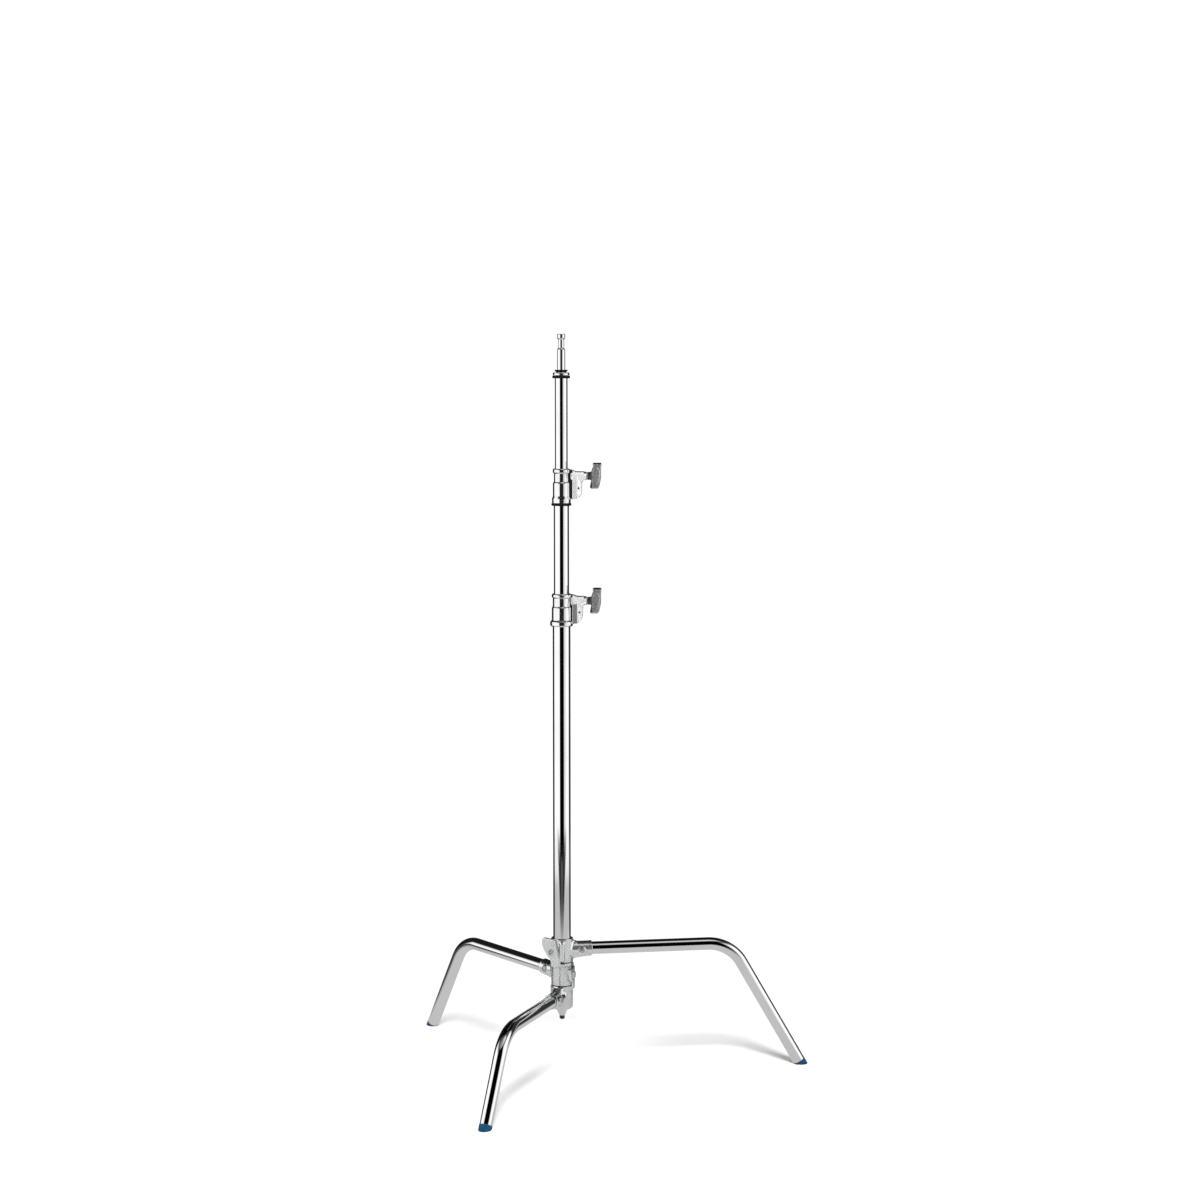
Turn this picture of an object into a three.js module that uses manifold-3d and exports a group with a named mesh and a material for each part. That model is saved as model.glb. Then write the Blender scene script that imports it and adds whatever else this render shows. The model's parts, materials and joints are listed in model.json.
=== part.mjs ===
// Studio grip stand: fixed column on a three-leg folding base, two telescopic risers,
// two screw clamps with T-handles and a 16 mm stud on top.
// Millimetres, +Z up, floor at z = 0; the origin is the middle of the footprint.
import * as THREE from 'three';
import { mergeVertices } from 'three/addons/utils/BufferGeometryUtils.js';
import Module from 'manifold-3d';

const wasm = await Module();
wasm.setup();

// ---------------------------------------------------------------- driving dimensions
const AXIS = { x: -130.7366, y: -33.5921 };   // column axis; all pieces are built around it
const TURNED_SIDES = 24;
const LEG_SIDES = 16;
const GAP = 0.3;                              // clearance between neighbouring pieces

const COLUMN = { radius: 17.5, bore: 16.0, bottom: 152.3, top: 933.2 };
const RISER1 = { radius: 15.0, bore: 13.4, bottom: 350, top: 1177.6 };
const RISER2 = { radius: 12.5, bore: 11.0, bottom: 565.4, top: 1387.6 };

// azimuth: leg direction in degrees; legZ: height of the level run; corner: distance from the
// column axis to where the centre lines of the level and sloping runs meet;
// closed: the hub has a floor under the column; ear: wall that rises round the hub above
const LEGS = {
  top: { azimuth: 0, legZ: 254.3, corner: 340.5, hubBottom: 230.4, hubTop: 277.3 },
  middle: {
    azimuth: 120, legZ: 208.0, corner: 335.0, hubBottom: 183.8, hubTop: 229.0,
    ear: { root: 222.4, top: 276.6, squash: 1, pinZ: 250.6 },
  },
  bottom: {
    azimuth: 240, legZ: 161.1, corner: 284.5, hubBottom: 133.5, hubTop: 182.4, closed: true,
    ear: { root: 176.0, top: 221.9, squash: 0.85, pinZ: 205.0 },
  },
};

// ---------------------------------------------------------------- helpers
const radians = (degrees) => degrees * Math.PI / 180;
const toVectors = (points) => points.map(([x, y]) => new THREE.Vector2(x, y));
const union = (...solids) => solids.reduce((sum, next) => sum.add(next));
const cut = (body, ...tools) => tools.reduce((rest, tool) => rest.subtract(tool), body);

// points on an arc about the origin, angles in degrees
const arc = (radius, start, end, steps) => Array.from({ length: steps + 1 }, (_, i) => {
  const angle = radians(start + (end - start) * i / steps);
  return [radius * Math.cos(angle), radius * Math.sin(angle)];
});

// closed three.js geometry to a Manifold solid, welded and facing outward
function solid(geometry) {
  const loose = geometry.index ? geometry.toNonIndexed() : geometry.clone();
  loose.deleteAttribute('normal');
  loose.deleteAttribute('uv');
  const welded = mergeVertices(loose, 1e-4);
  const positions = welded.attributes.position.array;
  const index = welded.index.array;
  const corner = (i) => new THREE.Vector3().fromArray(positions, 3 * i);
  const triangles = [];
  let volume = 0;
  for (let i = 0; i < index.length; i += 3) {
    const [first, second, third] = index.slice(i, i + 3);
    if (first === second || second === third || third === first) continue;
    triangles.push(first, second, third);
    volume += corner(first).dot(corner(second).cross(corner(third)));
  }
  if (volume < 0) {
    for (let i = 0; i < triangles.length; i += 3) {
      [triangles[i + 1], triangles[i + 2]] = [triangles[i + 2], triangles[i + 1]];
    }
  }
  return new wasm.Manifold(new wasm.Mesh({
    numProp: 3,
    vertProperties: Float32Array.from(positions),
    triVerts: Uint32Array.from(triangles),
  }));
}

function geometryOf(shape) {
  const mesh = shape.getMesh();
  const geometry = new THREE.BufferGeometry();
  geometry.setAttribute('position', new THREE.BufferAttribute(mesh.vertProperties, 3));
  geometry.setIndex(Array.from(mesh.triVerts));
  geometry.computeVertexNormals();
  return geometry;
}

// profile of [radius, z] turned about Z; a profile that misses the axis is closed on itself
function turned(profile, sides = TURNED_SIDES) {
  const points = toVectors(profile);
  if (profile[0][0] > 0) points.push(points[0].clone());
  return solid(new THREE.LatheGeometry(points, sides).rotateX(Math.PI / 2));
}

const tube = ({ radius, bore, bottom, top }, sides) => turned(
  [[bore, bottom], [radius, bottom], [radius, top], [bore, top]], sides);

// cylinders along each axis, between two places on that axis
const cylZ = (radius, from, to, sides = TURNED_SIDES, x = 0, y = 0) => solid(
  new THREE.CylinderGeometry(radius, radius, to - from, sides)
    .rotateX(Math.PI / 2).translate(x, y, (from + to) / 2));
const cylY = (radius, from, to, x, z, sides = 12) => solid(
  new THREE.CylinderGeometry(radius, radius, to - from, sides).translate(x, (from + to) / 2, z));
const coneX = (startRadius, endRadius, from, to, z, sides = 20) => solid(
  new THREE.CylinderGeometry(endRadius, startRadius, to - from, sides)
    .rotateZ(-Math.PI / 2).translate((from + to) / 2, 0, z));
const cylX = (radius, from, to, z, sides) => coneX(radius, radius, from, to, z, sides);

// cylinder along Y, centred on the X-Z plane
const crossPin = (radius, half, x, z, sides) => cylY(radius, -half, half, x, z, sides);

const extruded = (outline, depth) => new THREE.ExtrudeGeometry(
  new THREE.Shape(toVectors(outline)), { depth, bevelEnabled: false });
// outline of [x, y]
const prismZ = (outline, from, to) => solid(extruded(outline, to - from).translate(0, 0, from));
// outline of [x, z], centred on the X-Z plane
const plate = (outline, half) => solid(
  extruded(outline, 2 * half).rotateX(Math.PI / 2).translate(0, half, 0));
// outline of [y, z]
const prismX = (outline, from, to) => solid(
  extruded(outline, to - from).rotateX(Math.PI / 2).rotateZ(Math.PI / 2).translate(from, 0, 0));

// ---------------------------------------------------------------- materials
const metal = (finish) => new THREE.MeshStandardMaterial({ ...finish, metalness: 1 });
const plain = (finish) => new THREE.MeshStandardMaterial({ ...finish, metalness: 0 });
const CHROME = metal({ color: 0xe8eaec, roughness: 0.08 });
const CAST = metal({ color: 0xd2d4d6, roughness: 0.25 });
const SATIN = metal({ color: 0x9a9c9e, roughness: 0.45 });
const STEEL = metal({ color: 0xc8cacc, roughness: 0.3 });
const SPRING = metal({ color: 0x8c8e90, roughness: 0.35 });
const BLACK = plain({ color: 0x101010, roughness: 0.7 });
const DARK = plain({ color: 0x1c1c1e, roughness: 0.6 });
const NYLON = plain({ color: 0xd8d4c8, roughness: 0.5 });
const BLUE = plain({ color: 0x0f4173, roughness: 0.45 });

const root = new THREE.Group();
root.position.set(AXIS.x, AXIS.y, 0);

function addPiece(parent, name, shape, material) {
  const mesh = new THREE.Mesh(geometryOf(shape), material);
  mesh.name = name;
  parent.add(mesh);
}

function addTurnedGroup(azimuth) {
  const group = new THREE.Group();
  group.rotation.z = radians(azimuth);
  root.add(group);
  return group;
}

// ---------------------------------------------------------------- legs, each along its own +X
const LEG_RADIUS = 12.5;
const LEG_WALL = 1.5;
const LEG_START = 24.4;       // x of the inner end of the tube
const LEG_END_Z = 7.45;       // height of the lower end of the centre line
const BEND_RADIUS = 80;
const BEND_ANGLE = 60;
const BEND_STEPS = 6;
const RIVET_X = 38;
const RIVET_RADIUS = 3.0;

function legEndX({ legZ, corner }) {
  const slope = radians(BEND_ANGLE);
  return corner + (legZ - LEG_END_Z) / Math.sin(slope) * Math.cos(slope);
}

// centre line in the X-Z plane: level run, bend, straight run down to the foot
class LegPath extends THREE.Curve {
  constructor(leg) {
    super();
    const bendStart = leg.corner - BEND_RADIUS * Math.tan(radians(BEND_ANGLE / 2));
    this.stations = [{ x: LEG_START, z: leg.legZ, angle: 0 }];
    for (let i = 0; i <= BEND_STEPS; i++) {
      const angle = radians(BEND_ANGLE * i / BEND_STEPS);
      this.stations.push({
        x: bendStart + BEND_RADIUS * Math.sin(angle),
        z: leg.legZ - BEND_RADIUS * (1 - Math.cos(angle)),
        angle,
      });
    }
    this.stations.push({ x: legEndX(leg), z: LEG_END_Z, angle: radians(BEND_ANGLE) });
  }

  // the stations themselves, so that the bend keeps its own steps
  getSpacedPoints() {
    return this.stations.map(({ x, z }) => new THREE.Vector3(x, 0, z));
  }

  computeFrenetFrames() {
    const each = (direction) => this.stations.map(({ angle }) => direction(angle));
    return {
      tangents: each((angle) => new THREE.Vector3(Math.cos(angle), 0, -Math.sin(angle))),
      normals: each((angle) => new THREE.Vector3(Math.sin(angle), 0, Math.cos(angle))),
      binormals: each(() => new THREE.Vector3(0, 1, 0)),
    };
  }
}

function legTube(leg) {
  const circle = (radius) => toVectors(arc(radius, 0, 360 - 360 / LEG_SIDES, LEG_SIDES - 1));
  const section = new THREE.Shape(circle(LEG_RADIUS));
  section.holes.push(new THREE.Path(circle(LEG_RADIUS - LEG_WALL).reverse()));
  const path = new LegPath(leg);
  const body = solid(new THREE.ExtrudeGeometry(section,
    { steps: path.stations.length - 1, extrudePath: path, bevelEnabled: false }));
  return cut(body, crossPin(RIVET_RADIUS + GAP, 15, RIVET_X, leg.legZ));
}

// plug with a spigot up inside the tube and a sole cut flat at the floor;
// lengths run down the leg from the end of the tube
function legFoot(leg) {
  const endX = legEndX(leg);
  const section = (radius, from, to) => solid(
    new THREE.CylinderGeometry(radius, radius, to - from, LEG_SIDES)
      .translate(0, (from + to) / 2, 0)
      .rotateX(Math.PI / 2).rotateY(radians(90 + BEND_ANGLE)).translate(endX, 0, LEG_END_Z));
  const belowFloor = solid(new THREE.BoxGeometry(120, 80, 100).translate(endX, 0, -50));
  return cut(union(section(12.7, GAP, 40), section(10.6, -17, 1)), belowFloor);
}

function legRivet({ legZ }) {
  const head = { radius: 6.0, inner: 16.2, outer: 18.0 };
  return union(
    crossPin(RIVET_RADIUS, 17, RIVET_X, legZ),
    cylY(head.radius, head.inner, head.outer, RIVET_X, legZ, 16),
    cylY(head.radius, -head.outer, -head.inner, RIVET_X, legZ, 16),
  );
}

// ---------------------------------------------------------------- hub castings
const HUB = { radius: 21.7, chamferRadius: 20.9, chamfer: 0.8, bore: 17.9 };
const HUB_FLOOR = { bottom: 146, top: 150, hole: 5.5, recess: 10.6 };
const SOCKET = { radius: 14.8, end: 59 };
const RIB = { azimuth: -98, radius: 5.6, distance: 20.2 };   // azimuth from the hub's own leg
const EAR_AZIMUTH = 100;      // outward direction of the ear, degrees from the hub's own leg
const EAR_INNER = 22.3;
const EAR_OUTER = 25.2;
const DETENT_OFFSET = 5.8;    // sideways from the ear's outward direction
const DETENT_RADIUS = 3.0;

// [along the wing, height from the ear's top]
const EAR_OUTLINE = [
  [-3.5, 0], [28.5, 0], [31.4, -2.5], [31.4, -13], [29, -20], [24.6, -27], [17.9, -34.5],
  [10.6, -40], [8, -47], [8, -60], [-13, -60], [-13, -36], [-10.5, -26], [-7, -11],
];
// [outward, along the wing]
const WING_PLAN = [[EAR_OUTER, 29.6], [24.2, 31.3], [19.4, 31.3], [18.2, 30], [18.2, 12.8]];

// plan of the ear: a curved wall round the ring above, running out into a straight wing
function earPlan() {
  const outX = Math.cos(radians(EAR_AZIMUTH));
  const outY = Math.sin(radians(EAR_AZIMUTH));
  return [
    ...arc(EAR_OUTER, 128, EAR_AZIMUTH, 3),
    ...WING_PLAN.map(([out, along]) => [out * outX + along * outY, out * outY - along * outX]),
    ...arc(EAR_INNER, 65, 128, 5),
  ];
}

function stopEar({ root: rootZ, top, squash }, ringTop) {
  const outline = EAR_OUTLINE.map(([along, height]) => [
    along, top + Math.max(height * squash, rootZ - top)]);
  const side = solid(extruded(outline, 60).rotateX(Math.PI / 2).translate(0, 50, 0)
    .rotateZ(radians(EAR_AZIMUTH - 90)));
  const foot = prismZ([...arc(23.2, 70, 127, 4), ...arc(19.5, 127, 70, 3)], rootZ, ringTop);
  return union(prismZ(earPlan(), rootZ, top).intersect(side), foot);
}

// cylinder along the ear's outward direction
const detent = (radius, from, to, z, sides = 12) => solid(
  new THREE.CylinderGeometry(radius, radius, to - from, sides)
    .translate(DETENT_OFFSET, (from + to) / 2, z).rotateZ(radians(EAR_AZIMUTH - 90)));

const detentPlunger = (z) => union(
  detent(DETENT_RADIUS, 22.9, 26.6, z),
  detent(1.4, 26, 27.2, z, 8),
);

function hubRing(bottom, top, closed) {
  const { radius, chamferRadius, chamfer } = HUB;
  const lowerEdge = closed
    ? [[14.5, bottom], [17.2, bottom + 0.6], [20.2, bottom + 3.6], [21.5, bottom + 8.5]]
    : [[chamferRadius, bottom], [radius, bottom + chamfer]];
  return turned([[0, bottom], ...lowerEdge,
    [radius, top - chamfer], [chamferRadius, top], [0, top]]);
}

// vertical round rib on the ring, with a domed top
function hubRib(bottom, top) {
  const { radius, distance } = RIB;
  const x = distance * Math.cos(radians(RIB.azimuth));
  const y = distance * Math.sin(radians(RIB.azimuth));
  const dome = new THREE.SphereGeometry(radius, 12, 6).rotateX(Math.PI / 2).translate(x, y, top);
  return union(cylZ(radius, bottom, top, 12, x, y), solid(dome));
}

function hubCasting({ legZ, hubBottom, hubTop, closed, ear }) {
  const webTop = hubTop - 1.2;
  const upperWeb = [[8, legZ + 4], [8, webTop], [20, Math.min(webTop, legZ + 20)],
    [28, legZ + 14.6], [28, legZ + 4]];
  const lowerWeb = [[8, legZ - 20.5], [21.5, legZ - 20.5], [26, legZ - 18.0],
    [56, legZ - 13.6], [56, legZ - 6], [8, legZ - 6]];
  const lipX = SOCKET.end - 1;
  const lipRadius = SOCKET.radius - 0.6;
  let body = union(
    hubRing(hubBottom, hubTop, closed),
    coneX(SOCKET.radius, lipRadius, 10, lipX, legZ),
    coneX(lipRadius, SOCKET.radius - 1.3, lipX, SOCKET.end, legZ),
    plate(upperWeb, 8),
    plate(lowerWeb, 6),
    crossPin(7.0, 15.9, RIVET_X, legZ, 14),
    hubRib(hubBottom + 1, hubTop - (ear ? 6.8 : 8.6)),
  );
  const tools = [
    cylZ(HUB.bore, closed ? HUB_FLOOR.top : hubBottom - 1, hubTop + 1),
    cylX(LEG_RADIUS + GAP, 24, SOCKET.end + 2, legZ),
    crossPin(RIVET_RADIUS + GAP, 20, RIVET_X, legZ),
  ];
  if (closed) {
    tools.push(
      cylZ(HUB_FLOOR.hole, 140, HUB_FLOOR.top + 1),
      cylZ(HUB_FLOOR.recess, hubBottom - 1, HUB_FLOOR.bottom, 32),
    );
  }
  if (ear) {
    body = union(body, stopEar(ear, hubTop), detent(6.5, 22.6, 27.9, ear.pinZ, 16));
    tools.push(
      detent(DETENT_RADIUS + GAP, 15, 40, ear.pinZ),
      cylZ(EAR_INNER, hubTop, ear.top + 5),
    );
  }
  return cut(body, ...tools);
}

for (const [key, leg] of Object.entries(LEGS)) {
  const group = addTurnedGroup(leg.azimuth);
  addPiece(group, `${key}_hub_casting`, hubCasting(leg), CAST);
  addPiece(group, `${key}_leg_tube`, legTube(leg), CHROME);
  addPiece(group, `${key}_leg_foot`, legFoot(leg), BLUE);
  addPiece(group, `${key}_leg_rivet`, legRivet(leg), STEEL);
  if (leg.ear) addPiece(group, `${key}_detent_plunger`, detentPlunger(leg.ear.pinZ), STEEL);
}

// ---------------------------------------------------------------- base core
const PLUG = { radius: 15.6, bore: 4.5, bottom: 153.2, top: 161 };
const BOLT_RADIUS = 4.0;
const COIL = { radius: 7.6, wire: 0.85, turns: 3.25, bottom: 137.2, height: 7.4, steps: 34 };
// [radius, z]
const NUT_PROFILE = [[0, 113.6], [3.6, 113.6], [5.2, 115.2], [5.2, 119.9], [0, 119.9]];
const CUP_PROFILE = [[4.4, 120.2], [5.6, 120.2], [10.1, 130.6], [10.2, 135.9], [8.6, 135.9],
  [8.4, 132.2], [4.4, 131.2]];

class Helix extends THREE.Curve {
  getPoint(t) {
    const angle = t * 2 * Math.PI * COIL.turns;
    return new THREE.Vector3(COIL.radius * Math.cos(angle), COIL.radius * Math.sin(angle),
      COIL.bottom + COIL.height * t);
  }
}

const hubBolt = () => union(
  cylZ(BOLT_RADIUS, 112.4, 162),
  cylZ(7.2, PLUG.top + GAP, 166.6, 6),
);
const hubNut = () => cut(turned(NUT_PROFILE, 6), cylZ(BOLT_RADIUS + GAP, 100, 125));
const baseSpring = () => solid(new THREE.ExtrudeGeometry(
  new THREE.Shape(toVectors(arc(COIL.wire, 0, 288, 4))),
  { steps: COIL.steps, extrudePath: new Helix(), bevelEnabled: false }));
const hubWasher = (below, above) => tube(
  { radius: 20.6, bore: 18.0, bottom: below.hubTop + GAP, top: above.hubBottom - GAP }, 20);

addPiece(root, 'column_tube', tube(COLUMN), CHROME);
addPiece(root, 'column_plug', tube(PLUG), STEEL);
addPiece(root, 'hub_bolt', hubBolt(), STEEL);
addPiece(root, 'hub_nut', hubNut(), DARK);
addPiece(root, 'spring_cup', turned(CUP_PROFILE, 20), CAST);
addPiece(root, 'base_spring', baseSpring(), SPRING);
addPiece(root, 'hub_upper_washer', hubWasher(LEGS.middle, LEGS.top), DARK);
addPiece(root, 'hub_lower_washer', hubWasher(LEGS.bottom, LEGS.middle), DARK);

// ---------------------------------------------------------------- collars and clamps
// A collar sits on the top of one tube (outer) and clamps the tube sliding in it (inner).
// profile: barrel, [radius, z]; pod: slotted web that holds the brake shoe, and lobe: its
// thicker rim, both [x, z]; pinX, pinZ: shoe pivot; slotX: inner edge of the shoe slot
const LOWER = {
  outer: COLUMN, inner: RISER1,
  screwZ: 949.5, bossRadius: 8.8, pinX: 36.0, pinZ: 927, slotX: 20.6,
  profile: [[21.2, 899.0], [22.6, 901.5], [22.4, 908.2], [19.15, 911.2], [19.15, 935.8],
    [17.3, 937.8], [17.2, 954.2], [19.2, 956.4], [19.2, 961], [17.6, 963]],
  pod: [[12, 958], [18.5, 962], [22.5, 961.6], [31.5, 958.1], [43.4, 958.1], [43.4, 943],
    [42.1, 936], [41.8, 923], [40.6, 916], [36.9, 908.5], [31.5, 904.8], [22, 904], [12, 905]],
  lobe: [[34.4, 943], [42.6, 943], [42.1, 936], [41.8, 923], [40.6, 916], [37.2, 909],
    [33.4, 911.5], [32.4, 920]],
};
const UPPER = {
  outer: RISER1, inner: RISER2,
  screwZ: 1193.4, bossRadius: 8.3, pinX: 34.5, pinZ: 1169.4, slotX: 18.0,
  profile: [[18.3, 1140.2], [18.5, 1149.4], [16.6, 1153.4], [16.6, 1179.2], [14.6, 1181.6],
    [14.5, 1197.6], [16.8, 1200.2], [16.8, 1205.4], [15.2, 1207.4]],
  pod: [[10, 1202], [16, 1206.2], [20, 1205.6], [29.5, 1201.5], [43.4, 1201.5],
    [43.4, 1187.4], [40.4, 1179.4], [40, 1165.4], [39, 1158.4], [35.4, 1151.8],
    [30, 1148.6], [20, 1148], [10, 1149]],
  lobe: [[32.9, 1187.4], [41.9, 1187.4], [40.4, 1179.4], [40, 1165.4], [39, 1158.4],
    [35.6, 1152.4], [31.8, 1154.9], [30.9, 1163.4]],
};
const CLAMP_AZIMUTH = -15;    // direction of both clamp screws, degrees
const SCREW_RADIUS = 4.0;
const SHOE_PIN_RADIUS = 1.6;
const HANDLE_PIN_X = 56.6;
const HANDLE_HUB = { radius: 7.75, start: 53.9, end: 61.4 };

// T-handle seen from the side, [x, z from the screw]
const HANDLE_SIDE = [
  [63.3, 25.6], [77, 25.6], [78.3, 24.2], [77.3, 8.7], [77.6, -3.3], [74.4, -19.0],
  [72.4, -23.6], [71, -24.8], [59, -24.8], [57, -22.8], [56.6, -19.5], [59, -8.5],
  [58.8, 8.0], [62, 17.2], [62.2, 24.4],
];
// T-handle seen along the screw, [y, z from the screw]
const HANDLE_FACE = [
  [4.4, 25.8], [5.2, 23.5], [6.0, 14], [7.4, 0], [6.0, -14], [5.2, -22.6], [4.4, -25],
  [-4.4, -25], [-5.2, -22.6], [-6.0, -14], [-7.4, 0], [-6.0, 14], [-5.2, 23.5], [-4.4, 25.8],
];

function collar({
  outer, inner, screwZ, bossRadius, pinX, pinZ, slotX, profile, pod, lobe,
}) {
  const bottom = profile[0][1];
  const top = profile.at(-1)[1];
  const step = outer.top + GAP;
  const bearing = inner.radius;
  const headSlot = [[bearing - 3, screwZ - 13.4], [bearing + 8.2, screwZ - 13.4],
    [bearing + 8.2, screwZ + 9.5], [bearing - 3, screwZ + 9.5]];
  const leverSlot = [[slotX, screwZ - 6], [slotX, pinZ - 7], [pinX + 2, pinZ - 7],
    [pinX + 4.2, pinZ - 4], [pinX + 4.2, pinZ + 6.5], [bearing + 9.5, screwZ - 6]];
  const body = union(
    turned([[0, bottom], ...profile, [0, top]]),
    plate(pod, 6.5),
    plate(lobe, 8),
    cylX(bossRadius, 27, 48.1, screwZ),
    coneX(bossRadius, bossRadius - 1.4, 48.1, 49.9, screwZ),
  );
  return cut(body,
    cylZ(outer.radius + GAP, bottom - 1, step),
    cylZ(bearing + 0.4, step - 1, top + 1),
    plate(headSlot, 4.6),
    plate(leverSlot, 4.6),
    cylX(SCREW_RADIUS + GAP, bearing + 6, 60, screwZ, 16),
    crossPin(SHOE_PIN_RADIUS + GAP, 12, pinX, pinZ));
}

// lever hung on the shoe pin, hollowed to fit the inner tube
function brakeShoe({ inner, screwZ, pinX, pinZ, slotX }) {
  const bearing = inner.radius;
  const lug = arc(3.5, 30, -150, 8).map(([x, z]) => [pinX + x, pinZ + z]);
  const outline = [[bearing - 3, screwZ - 12.4], [bearing - 3, screwZ + 8],
    [bearing + 4.6, screwZ + 8], [bearing + 5.4, screwZ + 7.2], [bearing + 5.4, screwZ - 5.4],
    ...lug, [slotX + 1, screwZ - 12.4]];
  return cut(plate(outline, 4.1),
    cylZ(bearing + GAP, screwZ - 40, screwZ + 40),
    crossPin(SHOE_PIN_RADIUS + GAP, 10, pinX, pinZ));
}

function clampScrew({ inner, screwZ }) {
  const tip = inner.radius + 9;
  return cut(
    union(
      coneX(3.2, SCREW_RADIUS, tip, tip + 1, screwZ, 16),
      cylX(SCREW_RADIUS, tip + 1, 60.8, screwZ, 16),
    ),
    crossPin(1.5, 10, HANDLE_PIN_X, screwZ, 10));
}

const screwWasher = (radius, from, to, z) => cut(
  cylX(radius, from, to, z), cylX(4.4, 44, 64, z, 16));

function tHandle(screwZ) {
  const { radius, start, end } = HANDLE_HUB;
  const lift = (points) => points.map(([across, z]) => [across, z + screwZ]);
  const wings = plate(lift(HANDLE_SIDE), 8).intersect(prismX(lift(HANDLE_FACE), 40, 90));
  return cut(union(cylX(radius, start, end, screwZ), wings),
    cylX(SCREW_RADIUS + GAP, 48, end, screwZ, 16),
    crossPin(1.6, 12, HANDLE_PIN_X, screwZ));
}

function addClamp(prefix, spec) {
  const group = addTurnedGroup(CLAMP_AZIMUTH);
  const add = (name, shape, material) => addPiece(group, `${prefix}_${name}`, shape, material);
  const { inner, screwZ, pinX, pinZ } = spec;
  const screwPad = coneX(3.4, 3.9, inner.radius + 5.7, inner.radius + 8.6, screwZ, 16);
  add('collar', collar(spec), CAST);
  add('shoe_pin', crossPin(SHOE_PIN_RADIUS, 8.1, pinX, pinZ), DARK);
  add('brake_shoe', brakeShoe(spec), STEEL);
  add('screw_pad', screwPad, NYLON);
  add('clamp_screw', clampScrew(spec), STEEL);
  add('steel_washer', screwWasher(7.3, 50.3, 52.3, screwZ), STEEL);
  add('fibre_washer', screwWasher(8.0, 52.6, 53.6, screwZ), DARK);
  add('t_handle', tHandle(screwZ), SATIN);
  add('handle_pin', crossPin(1.25, 7.4, HANDLE_PIN_X, screwZ), DARK);
}

addClamp('lower', LOWER);

// ---------------------------------------------------------------- risers
// flanged bush plugged into the lower end of a riser
function riserGuide({ bottom }, { bore, spigot, flange }) {
  return turned([[bore, bottom - 4], [flange, bottom - 4], [flange, bottom - GAP],
    [spigot, bottom - GAP], [spigot, bottom + 18], [bore, bottom + 18]]);
}

const GUIDE1 = { bore: 10.5, spigot: 13.0, flange: 15.65 };
const GUIDE2 = { bore: 8, spigot: 10.6, flange: 13.0 };
// [radius, z]
const COLLAR_BUMPER = [[15.4, 1135.4], [19.1, 1135.4], [19.5, 1137.6], [19.1, 1139.9],
  [15.4, 1139.9]];
const TOP_BUMPER = [[12.9, 1382.2], [16.8, 1382.2], [17.4, 1384.9], [16.8, RISER2.top],
  [12.9, RISER2.top]];

addPiece(root, 'middle_riser_guide', riserGuide(RISER1, GUIDE1), NYLON);
addPiece(root, 'middle_riser_tube', tube(RISER1), CHROME);
addClamp('upper', UPPER);
addPiece(root, 'upper_collar_bumper', turned(COLLAR_BUMPER), BLACK);

addPiece(root, 'top_riser_guide', riserGuide(RISER2, GUIDE2), NYLON);
addPiece(root, 'top_riser_tube', tube(RISER2), CHROME);
addPiece(root, 'top_bumper_ring', turned(TOP_BUMPER), BLACK);

// ---------------------------------------------------------------- stud, all [radius, z]
const CAP_BORE = 8.4;
const CAP_FLOOR = 1362.4;
const CAP_TOP = 1393.6;
const STUD_CAP = [[0, 1355.4], [10.7, 1355.4], [10.7, RISER2.top + GAP],
  [16.0, RISER2.top + GAP], [16.4, 1392], [15.2, CAP_TOP], [CAP_BORE, CAP_TOP],
  [CAP_BORE, CAP_FLOOR], [0, CAP_FLOOR]];
const SEAT_RING = [[CAP_BORE, CAP_TOP + GAP], [9.6, CAP_TOP + GAP], [12.9, 1397.2],
  [12.4, 1398.9], [CAP_BORE, 1398.9]];
const STUD = [[0, CAP_FLOOR + GAP], [8, CAP_FLOOR + GAP], [8, 1437.8], [6, 1440.6],
  [6, 1457.2], [8, 1459.8], [8, 1466.6], [7, 1468], [0, 1468]];

addPiece(root, 'stud_cap', turned(STUD_CAP), CAST);
addPiece(root, 'stud_seat_ring', turned(SEAT_RING), BLACK);
addPiece(root, 'stud', turned(STUD), STEEL);

export default root;
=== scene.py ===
import json
from math import acos, atan2, ceil, cos, pi, radians, sin, sqrt, tan
from types import SimpleNamespace

import bpy
import numpy as np
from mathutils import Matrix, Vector


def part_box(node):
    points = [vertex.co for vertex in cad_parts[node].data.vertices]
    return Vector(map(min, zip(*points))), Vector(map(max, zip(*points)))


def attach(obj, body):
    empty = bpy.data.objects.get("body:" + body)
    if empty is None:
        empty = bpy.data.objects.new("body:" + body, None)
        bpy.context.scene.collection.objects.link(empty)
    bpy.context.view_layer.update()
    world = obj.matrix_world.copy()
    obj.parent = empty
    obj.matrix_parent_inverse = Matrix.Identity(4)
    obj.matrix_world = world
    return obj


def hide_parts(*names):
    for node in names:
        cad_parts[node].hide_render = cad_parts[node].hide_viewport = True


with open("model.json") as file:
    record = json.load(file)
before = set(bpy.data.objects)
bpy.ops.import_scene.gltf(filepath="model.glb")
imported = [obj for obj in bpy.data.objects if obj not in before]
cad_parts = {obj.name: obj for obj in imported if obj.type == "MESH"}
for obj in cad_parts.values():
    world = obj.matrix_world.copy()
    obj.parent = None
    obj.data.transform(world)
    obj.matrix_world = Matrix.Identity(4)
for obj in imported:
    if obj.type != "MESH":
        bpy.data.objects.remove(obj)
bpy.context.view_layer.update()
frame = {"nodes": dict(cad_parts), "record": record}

record = frame["record"]
BODY = {node: body for body, nodes in record["behaviour"]["bodies"].items() for node in nodes}
SLOT = {part["node"]: part["material_slot"] for part in record["subparts"]}
box_low, box_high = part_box("column_tube")
# column axis, mm
AXIS_X = (box_low.x + box_high.x) * 500
AXIS_Y = (box_low.y + box_high.y) * 500

# outer radii of the tubes, mm
COLUMN_R = 17.5
MIDDLE_R = 15.0
TOP_R = 12.5
LEG_R = 12.5

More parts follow.
